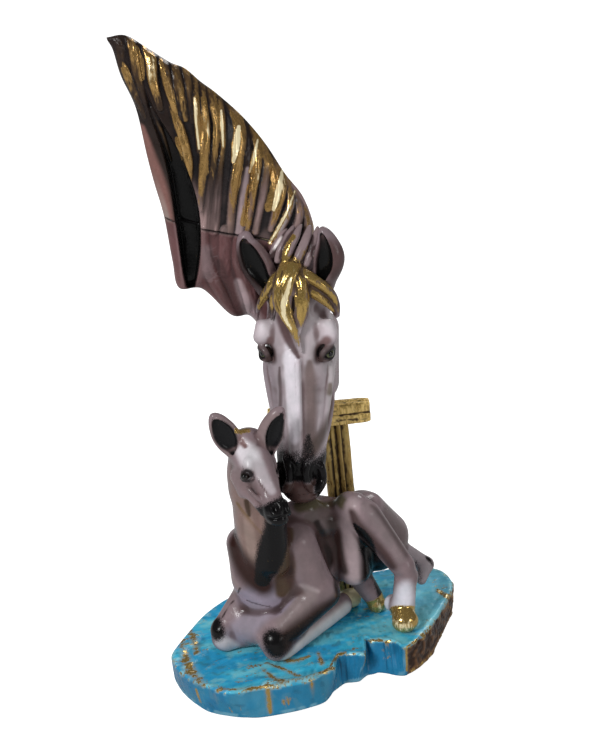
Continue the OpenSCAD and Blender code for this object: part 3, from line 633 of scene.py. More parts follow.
# Locks on the front: places across and up in millimetres with half width, height of the ridge and gold
front_locks = [
    [(-66.6, 351.9, 1.6, .5, .1), (-64.1, 345.9, 2.4, 1, .2), (-65.2, 334.6, 2, .6, .3)],
    [(-59, 351.1, 2, .8, .3), (-57.9, 343, 2.6, 1.6, .6), (-57.5, 331, 2.4, 1.5, .4),
     (-55.5, 318, 1.6, .8, .1)],
    [(-51.5, 345.5, 2.4, 1, .9), (-50, 338, 3.2, 2.4, 1), (-50.2, 328, 2.8, 2.4, .9),
     (-48.5, 315, 2, 1.3, .2)],
    [(-65, 340.5, 1.4, .6, .9), (-62.6, 332.4, 2.6, 1.4, .8), (-60, 322, 2.2, 1.3, .4),
     (-57, 311, 1.4, .8, .2)],
    [(-45.2, 340, 1.8, .6, .3), (-43.8, 332, 2.6, 2.2, .5), (-42.6, 322, 2.8, 2.5, .7),
     (-39.8, 309, 2, 1.6, .2)],
    [(-53.1, 314.5, 1.2, .6, .4), (-50.7, 305.7, 1.6, 1.5, .7), (-49, 296.5, 1.5, 1.4, .6),
     (-47.4, 287, 1, .8, .3)],
    [(-39.2, 334.5, 1.8, .8, .6), (-38.6, 326, 3, 2.6, .9), (-37.8, 317, 2.8, 2.3, .9),
     (-37, 308, 1.8, 1.2, .5)],
    [(-43.2, 317, 1.6, .8, .5), (-40.8, 306.6, 2.6, 2.6, .9), (-38.8, 296, 2.6, 2.8, 1),
     (-38, 286, 2.2, 2.2, .9), (-39, 275, 1.2, .9, .4)],
    [(-34.6, 332.5, 1.6, .8, .8), (-33.6, 324.4, 2.2, 2, .7), (-33.5, 315, 2, 1.8, .3),
     (-33.8, 306, 1.2, .8, .1)],
    [(-30.4, 328, 1.4, .6, .4), (-30.6, 317.2, 2, 2.4, 1), (-31.2, 306, 2, 2.6, 1),
     (-32.3, 291, 1.4, 1.3, .5)],
    [(-27.2, 323, 1.6, .6, .3), (-27.3, 312.8, 2.2, 2.4, .9), (-27.6, 301, 2.3, 2.8, 1),
     (-29.6, 290, 2.8, 3, 1), (-32.6, 276, 2.4, 1.8, .9), (-35.5, 262, 1.6, .9, .1)],
    [(-24.2, 320.4, 1.6, .6, .3), (-22.9, 311, 2.4, 2, .8), (-22.4, 301, 2.4, 2.3, .8),
     (-25.4, 287, 2.2, 2, .6), (-29.8, 270, 2.4, 1.4, .1), (-33, 252, 2.4, 1, 0)],
    [(-19.6, 316, 1.2, .6, .2), (-19.1, 307, 1.5, 2.2, 1), (-19.8, 296, 1.4, 2.4, 1),
     (-21.8, 286, 1.3, 1.8, .6), (-26, 270, 2.6, 1.5, .05), (-30, 250, 2.8, 1.2, 0)],
    [(-15.4, 310.4, 1.8, .6, .3), (-11.6, 302, 2.6, 2.4, .9), (-11, 293, 3.4, 3.2, 1),
     (-13.2, 284, 2.8, 3, .9), (-17, 272, 2.6, 2.4, .9), (-19.6, 260, 2.4, 2, .9),
     (-22.2, 246, 2.2, 1.5, .2)],
    [(-9.2, 301.5, 1.2, .5, .1), (-7.8, 292, 1.8, 1.6, 0), (-9.6, 281, 2.3, 1.8, 0),
     (-13.2, 266, 2.6, 2, 0), (-17.4, 246, 2.6, 1.7, 0)],
    [(-5.8, 295.8, 1.6, .6, .4), (-3.6, 287, 2.2, 2.4, 1), (-4.4, 277.5, 2.4, 3, 1),
     (-7.6, 267, 2.2, 2.7, 1), (-10.6, 256, 2, 2.3, 1), (-14, 245, 1.7, 1.5, .6)],
    [(-1, 288.4, 1.8, .6, .7), (.4, 280, 2.5, 2.2, .9), (-1.6, 271, 2.5, 2.6, .4),
     (-4.8, 260, 2.3, 2.2, .1), (-9.4, 245, 2, 1.5, .4)],
    [(3.8, 279.4, 1.6, .6, .3), (6.6, 271, 2.6, 2.6, 1), (6.3, 263.5, 2.8, 3, 1), (2.9, 255, 2.4, 2.5, .9),
     (-1.6, 245, 1.5, 1.3, .4)],
    [(9, 268.5, 1.4, .6, .2), (10.6, 260.2, 2.2, 2.4, .8), (8.2, 252, 2.2, 2.6, .6),
     (3.2, 243.5, 1.8, 1.9, .7), (-3, 234.5, 1.2, 1, .3)],
    [(13.2, 261.6, 1.5, .6, .4), (14.4, 252, 2.2, 2.2, .5), (11.3, 243, 2.4, 2.3, .1),
     (6, 234, 2.2, 1.6, .5), (2.6, 227, 1.4, .8, .1)],
    [(17.4, 253.4, 1.5, .6, .6), (17.6, 243.5, 2.2, 2, .5), (14.4, 235, 2.3, 1.8, .1),
     (10.6, 227, 1.6, .8, .4)],
    [(20.2, 246.4, 1.2, .5, .2), (20.4, 237.8, 1.8, 1.4, .5), (18.6, 230, 1.6, 1, .2)]]

# Folds below the seam, wide and soft
low_folds = [
    [(-35.2, 251, 2.6, 1.2, 0), (-35.9, 240, 3, 1.3, 0), (-34.5, 228, 3.4, 1.5, 0), (-30, 214, 3, 1.4, 0),
     (-26, 202, 2.2, .8, 0)],
    [(-24.1, 249, 3.2, 1.2, 0), (-25.4, 238, 3.4, 1.2, 0), (-27, 226, 2.4, .5, 0)],
    [(-17.4, 246, 3, 1.6, 0), (-19.4, 234, 3.6, 1.9, 0), (-17, 220, 4.2, 2.4, 0), (-15.4, 208, 4, 2.2, 0),
     (-15.6, 197, 2.6, 1.2, 0)]]

# Broad strokes of gold over the locks, and painted highlights on them: places and half widths
broad_gold = [
    [(-56.3, 344.6, 1), (-54.9, 337.3, 1.5), (-55.3, 329.7, 1)],
    [(-45.4, 337.3, 1), (-44.2, 328.5, 1.8), (-42.1, 318.6, 1.9), (-41.5, 308.7, 1.2)],
    [(-41.8, 298.7, 1.6), (-40.1, 288.5, 2), (-38.1, 280.7, 1)],
    [(-31.2, 312.5, 1.2), (-29.6, 297.4, 2.2), (-30.1, 284.9, 2.4), (-32.5, 277.5, 1.6)],
    [(-21.6, 318.8, 1.4), (-20.1, 306.4, 1.8), (-20.4, 291.4, 1.4)],
    [(-14.3, 305.8, 1.4), (-11.5, 295.5, 2.8), (-12.7, 285.6, 2.8), (-16.8, 270.7, 2.2),
     (-19.8, 258.1, 1.6)],
    [(-5.4, 297.4, 1.2), (-1.3, 289.4, 1.8), (-5.6, 277.2, 2.4), (-11.3, 262.4, 2), (-15.1, 250.8, 1.6)],
    [(1.8, 281.5, 1.4), (3, 268.6, 2.2), (-1.8, 256.1, 1.8)]]
painted_glints = [
    [(-11.8, 299.1, 1.4), (-13.9, 290.8, 2.2), (-16.4, 282.9, 1)],
    [(-31.5, 317.4, .5), (-32.1, 305.2, .8), (-32.2, 292.7, .6)],
    [(-19.4, 308.8, .6), (-19.9, 300.4, .9), (-20.4, 291.4, .5)],
    [(-3.2, 290.6, .6), (-6.1, 282.3, 1.1), (-8.7, 276, .7)],
    [(7.6, 273.2, .8), (4.6, 264.2, 2), (1.1, 255.3, .9)],
    [(12.9, 262.3, .4), (5.6, 250.1, .8), (-2.8, 237.8, .7)]]

# The deep hollow behind the cut edge: middle line with half width and depth
hollow_course = [
    (-55.2, 326, .6, .5), (-52.6, 313, 1.6, 2.5), (-47.2, 296, 3.4, 6), (-43.8, 280, 5, 8),
    (-42.4, 262, 6.1, 9.5), (-42.8, 246, 5.6, 10), (-44.2, 232, 4.2, 9), (-45.4, 222, 2.6, 6)]

# Locks on the back, which the photograph doesn't show: fewer and wider
back_locks = [[(mare["poll"][0] + MANE_RISE * x, mare["poll"][2] + MANE_RISE * z, w, h, g)
               for (x, z), w, h, g in zip(line, (2.0, 3.8, 3.6, 2.0), (0.8, 2.6, 2.4, 0.8),
                                          (.6, .9, .5, .0))]
              for line in [
                  [(-.600, .985), (-.585, .89), (-.585, .80), (-.59, .68)],
                  [(-.505, .925), (-.490, .80), (-.490, .66), (-.50, .50)],
                  [(-.420, .860), (-.405, .71), (-.415, .52), (-.44, .36)],
                  [(-.335, .780), (-.330, .60), (-.350, .42), (-.39, .22)],
                  [(-.255, .700), (-.255, .52), (-.285, .32), (-.33, .12)],
                  [(-.175, .595), (-.180, .43), (-.215, .24), (-.27, .06)],
                  [(-.105, .480), (-.118, .33), (-.160, .16), (-.21, .01)],
                  [(-.040, .360), (-.055, .24), (-.095, .10), (-.15, -.03)],
                  [(.030, .240), (.008, .14), (-.030, .04), (-.08, -.07)]]]
SEAM_AT = np.array([-0.378, 0.170]) * MANE_RISE + mare["poll"][[0, 2]]
SEAM_TILT = np.radians(20.9)
print(len(front_locks), "locks in front,", len(back_locks), "behind")


# %% Relief of the neck
def lock_relief(flat, locks, fine=0.34):
    """Height and gold of the highest lock at each place. A lock's section is height * sqrt(1 - (d/w)^2),
    with fine hairs added as noise drawn out along it."""
    height = np.zeros(len(flat))
    gold = np.zeros(len(flat))
    for rows in locks:
        d, t, extra, side = to_course(flat, smooth_course(rows), 2)
        w, h, g = extra.T
        x = np.clip(d / w, 0, 1)
        dome = h * np.sqrt(1 - x * x)
        strand = cloud(np.stack([side * d, 9.0 * t, np.full(len(d), 3.0 * w.max())], 1), 0.9, 2.0)
        hairs = fine * strand * ease(1.4 * (1 - x)) * ease(h)
        ridge = dome + hairs
        higher = ridge > height
        height = np.where(higher, ridge, height)
        gold = np.where(higher, g * ease(2.2 * (1 - x)), gold)
    return height, gold


def neck_middle(x):
    """Depth of the neck's middle surface: it eases from in front of the poll's depth at the free end to
    behind it at the head."""
    share = (x - mare["poll"][0]) / MANE_RISE
    return mare["poll"][1] + MANE_RISE * (-0.04 + 0.11 * ease((share + 0.50) / 0.40))


# Grid of the neck: rows from tip to poll, columns in front and behind
neck_rows = 350
front_columns = 186
back_columns = 84
slices = smooth_course(neck_slices, 24)
pick = np.linspace(0, len(slices) - 1, neck_rows)
slices = np.stack([np.interp(pick, np.arange(len(slices)), c) for c in slices.T], 1)
# From the crest (0) to the cut edge (1) in front, closer together at both, and back behind
ahead = np.linspace(0, 1, front_columns)
ahead = 0.5 - 0.5 * np.cos(np.pi * ahead) * 0.35 + (ahead - 0.5) * 0.65
turn = np.concatenate([ahead, np.linspace(1, 0, back_columns + 2)[1:-1]])
facing = np.concatenate([np.full(front_columns, -1.0), np.full(back_columns, 1.0)])
r = np.tile(turn, neck_rows)
face = np.tile(facing, neck_rows)
row = np.repeat(slices, len(turn), axis=0)
neck_x = mare["poll"][0] + MANE_RISE * (row[:, 0] * (1 - r) + row[:, 2] * r)
neck_z = mare["poll"][2] + MANE_RISE * (row[:, 1] * (1 - r) + row[:, 3] * r)
flat = np.stack([neck_x, neck_z], 1)
body = NECK_HALF * row[:, 4] * (1 - np.abs(2 * r - 1) ** 2.6) ** 0.6
in_front = face < 0
relief = np.zeros(len(r))
gold = np.zeros(len(r))
relief[in_front], gold[in_front] = lock_relief(flat[in_front], front_locks + low_folds)
relief[~in_front], gold[~in_front] = lock_relief(flat[~in_front], back_locks)
# Relief dies out towards the crest and the cut edge, so front and back meet there
edge_fade = ease(r / 0.05) * ease((1 - r) / 0.04)
d, _, extra, _ = to_course(flat, smooth_course(hollow_course), 2)
wide, deep = extra.T
hollow = np.where(in_front, deep * ease((wide - d) / 1.6 + 0.3), 0.0)
seam_d = (flat - SEAM_AT) @ np.array([np.sin(SEAM_TILT), np.cos(SEAM_TILT)])
crack = 0.7 * np.exp(-(seam_d / 0.45) ** 2)
wave = 0.35 * cloud(np.stack([neck_x, 9 * face, neck_z], 1), 7.0)
depth = body * (1 - 0.12 * in_front) + (relief * 0.95 + wave - crack) * edge_fade - hollow * edge_fade
neck_points = np.stack([neck_x, neck_middle(neck_x) + face * depth, neck_z], 1)
neck_faces = ring_faces(neck_rows, len(turn))
print("neck grid", neck_rows, "by", len(turn))

# %% [markdown]
# The neck and the head are two castings glued along a seam, so the grid is cut there. Bisect with a fill
# closes each half at the cut.

# %% Paint and cut the neck
proud = proudness(neck_points, neck_faces, 40)
x, _, z = neck_points.T
# Where the hair turns mauve, the clouds in the gold, the fine cracks, the cut edge, and what lies below
# the seam
pleats = ease((284 - z) / 34) * ease((x + 44) / 8)
broad = cloud(neck_points * (1, 1, 0.35), 5.0, 1.5)
lace = np.abs(cloud(neck_points, 2.2, 3.5)) < 0.16
rim = ease((r - 0.90) / 0.05) * ease((306 - z) / 14)
below = ease(-seam_d / 2.0)
# Airbrush strokes: amount, colour, softness of the edge, then places and half widths
pleat_strokes = [
    (.7, (.36, .28, .29), 1, [(-9.6, 278, 1), (-13, 264, 1.8), (-17.5, 247, 2.2)]),
    (1, (.3, .26, .26), 1, [(13, 257.9, .7), (6.1, 248.5, 1), (.2, 238.1, 1)]),
    (.9, (.21, .105, .09), .8, [(-59.7, 305, 2.4), (-57.4, 289, 4), (-54.5, 273, 4.4), (-52.5, 255, 3.2),
        (-51.8, 231, 2.6)])]
low_strokes = [
    (1, (.34, .26, .27), 1.2, [(-21, 220, 2), (-18.4, 206, 3.6), (-16, 195, 5)]),
    (.9, (.066, .032, .032), 1.2, [(-29, 233, 1.6), (-26.8, 218, 3.2), (-24, 207.8, 3.4),
        (-22, 198, 2.4)])]
low_light = stroke(flat, [(-35, 241, 2.6), (-36, 227, 2.8)], 1.2)
lace_light = stroke(flat, [(-32.3, 239, 3), (-33.9, 225, 3.4)])
paint = lay(
    ground_coat((.020, .013, .011), neck_points),
    ((.120, .070, .028), ease(gold * 1.25) * ease(proud / 0.7 + 0.35)),
    ((.330, .230, .220), pleats * (0.32 + 0.66 * ease(proud / 0.7)) * (1 - 0.6 * gold)))
paint = airbrush(paint, flat, pleat_strokes)
paint = lay(
    paint,
    ((.30, .24, .215), rim * ease((290 - z) / 40) * 0.9),
    ((.115, .052, .053), below * 0.95),
    ((.175, .105, .105), below * ease(proud / 0.9) * 0.8),
    ((.20, .145, .15), below * low_light * 0.7))
paint = airbrush(paint, flat, low_strokes)
# Pale lace below the seam, black in the grooves and near-black in the deep hollow, partly black paint and
# partly painted shade, and a dark seam
paint = lay(
    paint,
    ((.20, .135, .14), below * lace * lace_light * 0.6),
    (SOOT, ease(-proud / 0.45 - 0.1) * 0.95 * (1 - 0.5 * below)),
    ((.003, .003, .003), ease(hollow / 2.0 - 0.1) * ease((312 - z) / 30)),
    (SOOT, np.exp(-(seam_d / 0.5) ** 2) * 0.8))
# Black speckle in the grooves above the seam, also partly painted shade
spray = ease(-proud / 0.7 - 0.2) * 0.6 * (1 - below)
gold = gold * (0.50 + 0.50 * ease(proud / 0.6 + 0.55)) * (1 - ease(hollow / 1.0)) * (0.70 + 0.6 * broad)
# Clouded gold on what stands out, whole strokes of it, painted highlights past one, and dabs on the crest
for rows in broad_gold:
    gold = np.maximum(gold, in_front * stroke(flat, rows) * (0.72 + 0.35 * broad))
for rows in painted_glints:
    gold = np.maximum(gold, 1.50 * in_front * stroke(flat, rows, 1.2))
crest = (r < 0.07) * in_front * ease((z - 250) / 20) * ease((345 - z) / 10)
gold = np.maximum(gold, 0.5 * crest * ease(broad / 0.4))


def cut_piece(name, slot, nodes, keep_above):
    """The part of the neck on one side of the seam, closed at the cut."""
    caps = [np.arange(len(turn)), np.arange(len(turn))[::-1] + (neck_rows - 1) * len(turn)]
    piece = make_piece(name, neck_points, neck_faces[:, ::-1], resin_mane, slot, nodes, caps=caps,
                       paint=paint, spray=spray, gold=gold)
    bm = bmesh.new()
    bm.from_mesh(piece.data)
    away = Vector((np.sin(SEAM_TILT), 0.0, np.cos(SEAM_TILT)))
    gap = 0.15 * MM if keep_above else -0.15 * MM
    place = Vector((SEAM_AT[0] * MM, 0.0, SEAM_AT[1] * MM)) + away * gap
    bmesh.ops.bisect_plane(bm, geom=bm.verts[:] + bm.edges[:] + bm.faces[:], plane_co=place, plane_no=away,
                           clear_inner=keep_above, clear_outer=not keep_above)
    bmesh.ops.holes_fill(bm, edges=[e for e in bm.edges if e.is_boundary])
    bmesh.ops.recalc_face_normals(bm, faces=bm.faces[:])
    bm.to_mesh(piece.data)
    bm.free()


cut_piece("mane", "mane", ("mare_mane",), keep_above=True)
cut_piece("lower_neck", "mare_head", ("mare_head",), keep_above=False)

# %% [markdown]
# ## The mare's head
# The head hangs down and faces the viewer. Its big forms are tapered limbs in the head's own frame, in
# shares of its length: side, out of the face, down the face. Bones that show through the skin, lids,
# nostrils and locks of the forelock are thinner strands melted on with less softness, and the hollows of
# the ears and nostrils are cut away.

# %% Forms of the mare's head
# Each row: two places, half width and half depth at each, softness. Rows with a side are mirrored.
mare_forms = [
    ((0, -.08, .04), (0, -.05, .16), (.085, .1), (.115, .12), .04),
    ((0, -.06, .14), (0, -.04, .34), (.12, .13), (.13, .12), .04),
    ((0, 0, .26), (0, .018, .46), (.11, .088), (.1, .08), .03),
    ((0, .035, .44), (0, .045, .82), (.07, .055), (.05, .045), .03),
    ((0, -.04, .44), (0, -.01, .8), (.14, .115), (.098, .08), .04),
    ((0, 0, .84), (0, .005, .92), (.094, .08), (.098, .082), .03),
    ((0, .02, .94), (0, .015, .965), (.07, .062), (.06, .046), .03),
    ((0, -.055, .87), (0, -.045, .945), (.05, .05), (.046, .04), .03),
    ((.07, -.15, .33), (.07, -.15, .55), (.072, .125), (.068, .108), .04),
    ((.062, -.13, .56), (.036, -.07, .84), (.05, .07), (.036, .045), .03),
    ((.122, .036, .286), (.13, .046, .326), (.038, .038), (.038, .034), .026),
    ((.06, .03, .865), (.066, .025, .915), (.034, .044), (.034, .04), .018)]
# Forms on one side only: the flat of the nose with its sharp right edge
nose_forms = [
    ((-.01, .078, .4), (-.005, .084, .8), (.034, .032), (.026, .027), .014),
    ((.018, .096, .41), (.013, .094, .77), (.011, .018), (.01, .016), .008)]
# The eye's place, on both sides
mare_eye = (.126, .048, .388)
# Strands on both sides: places with half width and half depth
mare_strands = {
    "cheek crest": [(.128, 0, .44, .014, .014), (.122, 0, .51, .014, .014), (.112, .002, .59, .012, .013),
        (.098, .006, .67, .01, .012), (.082, .018, .745, .006, .008)],
    "upper lid": [(.1, .07, .412, .004, .005), (.113, .074, .384, .008, .008),
        (.132, .062, .367, .009, .009), (.143, .036, .372, .007, .008), (.142, .018, .388, .004, .005)],
    "lower lid": [(.1, .07, .412, .003, .004), (.12, .068, .412, .004, .004),
        (.136, .052, .408, .004, .004), (.142, .034, .399, .004, .004), (.142, .018, .388, .003, .004)],
    "nostril rim": [(.056, .076, .8, .007, .008), (.038, .096, .828, .011, .011),
        (.031, .098, .87, .011, .011), (.04, .092, .915, .01, .01), (.06, .078, .94, .01, .01),
        (.082, .05, .93, .009, .01), (.092, .034, .895, .009, .01), (.088, .042, .85, .009, .01)],
    "jaw edge": [(.118, -.07, .5, .01, .01), (.122, -.05, .6, .009, .01), (.108, -.03, .7, .008, .009),
        (.084, -.01, .79, .006, .007)]}
# Cuts on both sides
mare_cuts = [
    ((.124, .052, .388), (.13, .05, .392), (.03, .03), (.03, .028), .016),
    ((.07, .088, .862), (.076, .062, .912), (.02, .03), (.019, .026), .008),
    ((.108, .062, .545), (.104, .062, .585), (.016, .016), (.014, .014), .03),
    ((.062, .118, .44), (.052, .118, .76), (.012, .014), (.01, .01), .04),
    ((.1, .05, .215), (.122, .02, .235), (.018, .02), (.02, .022), .03)]
mouth = [
    (0, .082, .972, .006, .008), (.04, .07, .968, .006, .008), (.068, .03, .955, .006, .009),
    (.08, -.015, .93, .005, .008)]
# The forelock: a twisted middle lock, and locks to each side
forelock = [
    [(0, .045, .03, .038, .03), (-.004, .085, .055, .045, .034), (-.017, .102, .092, .046, .034),
     (-.03, .112, .135, .04, .03), (-.03, .118, .185, .033, .026), (-.012, .12, .235, .027, .022),
     (.01, .117, .29, .018, .016), (.03, .104, .372, .005, .006)],
    [(.012, .08, .06, .034, .028), (.036, .104, .105, .032, .026), (.042, .11, .165, .031, .026),
     (.038, .11, .219, .026, .022), (.032, .11, .258, .017, .016), (.024, .114, .304, .006, .008)],
    [(-.02, .065, .06, .028, .026), (-.061, .088, .092, .024, .022), (-.095, .08, .138, .02, .018),
     (-.128, .062, .184, .014, .013), (-.149, .042, .228, .005, .006)],
    [(-.04, .08, .1, .016, .015), (-.066, .086, .138, .016, .014), (-.08, .082, .188, .012, .011),
     (-.086, .076, .25, .004, .005)],
    [(.022, .062, .062, .028, .024), (.07, .096, .082, .024, .021), (.111, .088, .113, .023, .02),
     (.147, .064, .152, .02, .018), (.165, .04, .2, .013, .013), (.168, .022, .248, .005, .005)],
    [(.04, .084, .11, .02, .018), (.08, .088, .142, .022, .018), (.118, .074, .175, .018, .016),
     (.15, .046, .216, .01, .01), (.162, .03, .25, .004, .004)]]
# Locks that run from the seam to the forelock between the ears
poll_locks = [
    [(-.028, .012, -.095, .005, .005), (-.04, .034, -.07, .013, .013), (-.066, .048, -.028, .015, .015),
     (-.085, .056, .014, .01, .01)],
    [(.002, .012, -.105, .005, .005), (-.014, .04, -.074, .014, .014), (-.042, .06, -.022, .017, .017),
     (-.058, .066, .024, .012, .012)],
    [(.03, .014, -.108, .006, .006), (.014, .048, -.068, .017, .017), (-.014, .068, -.012, .019, .018),
     (-.026, .076, .036, .014, .012)],
    [(.064, .01, -.104, .006, .006), (.058, .044, -.062, .018, .017), (.034, .066, -.008, .019, .018),
     (.012, .076, .038, .014, .012)],
    [(.094, .002, -.098, .005, .005), (.086, .032, -.054, .014, .014), (.072, .05, -.004, .016, .016),
     (.056, .064, .04, .012, .012)]]
# Ears: outer leaf, then hollow
mare_ears = {
    "left": ([(-.09, .025, .15, .036, .032), (-.104, .034, .12, .042, .034),
        (-.133, .058, .055, .055, .034), (-.16, .074, -.01, .046, .03), (-.178, .084, -.055, .023, .018),
        (-.17, .09, -.083, .007, .007)], [(-.092, .07, .128, .01, .016), (-.112, .084, .098, .026, .024),
        (-.138, .1, .05, .042, .032), (-.16, .11, -.008, .035, .028), (-.176, .106, -.048, .016, .014),
        (-.172, .1, -.068, .005, .006)]),
    "right": ([(.11, .012, .14, .032, .032), (.119, .036, .094, .037, .034), (.14, .058, .04, .047, .034),
        (.146, .066, -.004, .046, .03), (.139, .074, -.056, .027, .02), (.124, .082, -.098, .007, .007)],
        [(.104, .06, .11, .01, .018), (.112, .078, .084, .02, .026), (.125, .096, .04, .033, .032),
        (.13, .104, -.006, .03, .03), (.128, .1, -.052, .016, .018), (.123, .094, -.082, .004, .006)])}


# Where hairs lie across a lock, as shares of its half width
HAIR_LANES = (-0.74, -0.27, 0.20, 0.68)
mare_clay = Clay((-26, -28, 92), (46, 52, 250), 0.6)
add_forms(mare_clay, mare, mare_forms)
add_forms(mare_clay, mare, nose_forms, both=False)
add_forms(mare_clay, mare, mare_cuts, cut=True)
add_strands(mare_clay, mare, mare_strands.values(), 1.6)
for outer, inner in mare_ears.values():
    mare_clay.strand(head_rows(mare, outer), 3.0, mare["side"])
    mare_clay.strand(head_rows(mare, inner), 0.8, mare["side"], cut=True)
for rows in forelock + poll_locks:
    mare_clay.strand(head_rows(mare, rows) * (1, 1, 1, 0.90, 0.84), 0.8, mare["side"])
    for lane in HAIR_LANES:
        hairs = np.array(rows)
        twist = lane + 0.16 * np.sin(np.arange(len(hairs)) * 1.7 + 3 * lane)
        hairs[:, 0] += hairs[:, 3] * twist
        hairs[:, 1] += hairs[:, 4] * 0.72 * np.sqrt(np.clip(1 - twist ** 2, 0, 1))
        hairs[:, 3:] = np.maximum(hairs[:, 3:4] * (0.26, 0.30), 0.003)
        mare_clay.strand(head_rows(mare, hairs), 0.35, mare["side"])
add_strands(mare_clay, mare, [mouth], 1.2, cut=True)
mare_points, mare_faces = mare_clay.skin()
print("mare's head", mare_clay.count, len(mare_faces), "squares")

# %% [markdown]
# The paint goes on in the order of the workshop: pale pearl, mauve in the hollows, burgundy round the
# hair, black on the muzzle and in the ears, then gold over the locks. The mauve and the burgundy are
# partly painted shade, and the face also takes strokes of painted light and shade.

# %% Paint of the mare's head
local = in_head(mare, mare_points)
s, f, t = local.T
proud = proudness(mare_points, mare_faces, 24)
wide_proud = proudness(mare_points, mare_faces, 110)
puffs = cloud(mare_points, 11.0) * 0.5 + cloud(mare_points, 4.0, 1.0) * 0.3


def covered(rows, grow=1.0, soft=0.5):
    """How much a strand's own width covers each point of the head."""
    return stroke(local, np.asarray(rows, float)[:, :4] * (1, 1, 1, grow), soft)


# Strokes of airbrush and of painted light and shade: amount, colour, softness, then places to the side,
# out and down with half widths
face_strokes = [
    (1, (.26, .215, .235), 1.2, [(-.117, .03, .36, .045), (-.107, .045, .52, .045), (-.1, .05, .62, .035),
        (-.09, .05, .72, .03)]),
    (1, (.46, .41, .43), 1.4, [(.065, .075, .27, .045), (.06, .08, .37, .04)]),
    # Painted highlight down the flat of the nose
    (1, (.7, .67, .715), 1.1, [(-.018, .11, .36, .026), (-.015, .11, .43, .034), (-.012, .11, .53, .036),
        (-.012, .11, .62, .034), (-.01, .11, .72, .022)]),
    # Painted shade on the plane right of the nose
    (1, (.185, .14, .135), 1.3, [(.06, .085, .42, .012), (.058, .085, .46, .024), (.058, .076, .51, .03),
        (.056, .07, .6, .03), (.052, .071, .7, .03), (.052, .07, .78, .03)]),
    # Painted shade along the left edge of the nose
    (.7, (.29, .25, .27), 1.6, [(-.066, .085, .4, .014), (-.064, .08, .55, .02), (-.06, .075, .72, .018)]),
    (.9, (.105, .075, .077), 1.2, [(-.06, .083, .44, .004), (-.064, .08, .51, .01),
        (-.067, .062, .617, .013), (-.062, .062, .72, .016)]),
    (1, (.46, .42, .43), 1, [(.134, .017, .45, .018), (.132, .002, .55, .02), (.119, -.002, .63, .018),
        (.106, .009, .69, .01)]),
    (.5, (.54, .49, .51), 1.6, [(.115, .047, .477, .007), (.102, .049, .557, .007),
        (.092, .047, .626, .007), (.079, .048, .7, .006)]),
    # Painted shade in the dent of the right cheek
    (.8, (.12, .09, .06), 1.4, [(.127, .016, .525, .01), (.124, .014, .555, .014)]),
    (.9, (.095, .068, .058), 1.2, [(.112, -.03, .6, .022), (.09, .01, .7, .03), (.065, .05, .76, .034)]),
    (.9, (.07, .034, .034), 1, [(-.052, .087, .24, .026), (-.018, .094, .33, .018),
        (.018, .1, .395, .008)]),
    # Painted highlights on the brows, then painted shade under them
    (1, (.6, .56, .585), 1.8, [(.138, .07, .272, .022), (.142, .06, .298, .026)]),
    (1, (.6, .56, .585), 1.8, [(-.124, .07, .288, .02), (-.124, .06, .306, .024)]),
    (.9, (.145, .08, .077), 1, [(.128, .082, .335, .02), (.094, .06, .366, .016)]),
    (.9, (.145, .08, .077), 1, [(-.096, .066, .335, .016), (-.109, .054, .356, .016)]),
    (.6, (.24, .18, .19), 1, [(.03, .095, .7, .014), (.03, .09, .78, .014), (.03, .09, .83, .01)])]
paint = lay(ground_coat((.40, .35, .37), local),
            ((.22, .16, .17), 0.65 * ease(-f / 0.10 + 0.2) + 0.25 * ease(puffs + 0.3)))
paint = airbrush(paint, local, face_strokes)
# Rings of brown and black round each eye, and painted shade in its inner corner
for sign in (1, -1):
    turned = (local - np.array(mare_eye) * (sign, 1, 1)) * (sign, 1, 1)
    lid = np.linalg.norm(turned * (0.75, 1, 1.15), axis=1)
    inner_corner = np.linalg.norm(turned - (-.030, .030, .022), axis=1)
    paint = lay(
        paint,
        ((.20, .145, .145), ease((0.070 - lid) / 0.040) * 0.7),
        ((.035, .018, .016), ease((0.034 - inner_corner) / 0.022) * 0.95),
        ((.045, .026, .024), ease((0.054 - lid) / 0.016) * 0.8),
        (SOOT, ease((0.041 - lid) / 0.008) * 0.95))
hair = np.max([covered(rows, 1.05) for rows in forelock], axis=0)
shade_round_hair = np.max([covered(rows, 1.6, 1.5) for rows in forelock], axis=0)
# The lips are wine, between black nostrils and chin
lips = ease((t - .885) / .03) * ease((0.075 - np.abs(s)) / 0.02)
# Painted shadow under the locks, on each side of the forehead
shadow_under_locks = [
    (1, (.014, .009, .009), .8, [(-.112, .07, .16, .022), (-.1, .07, .205, .03), (-.092, .07, .24, .016)]),
    (1, (.05, .026, .024), .9, [(.085, .09, .165, .024), (.125, .075, .195, .026),
        (.15, .045, .235, .018)])]
# Burgundy round the forelock on the forehead: painted shade under it
paint = lay(paint, (WINE, 0.85 * shade_round_hair * ease((0.27 - t) / 0.10 + 0.4)))
paint = airbrush(paint, local, shadow_under_locks)
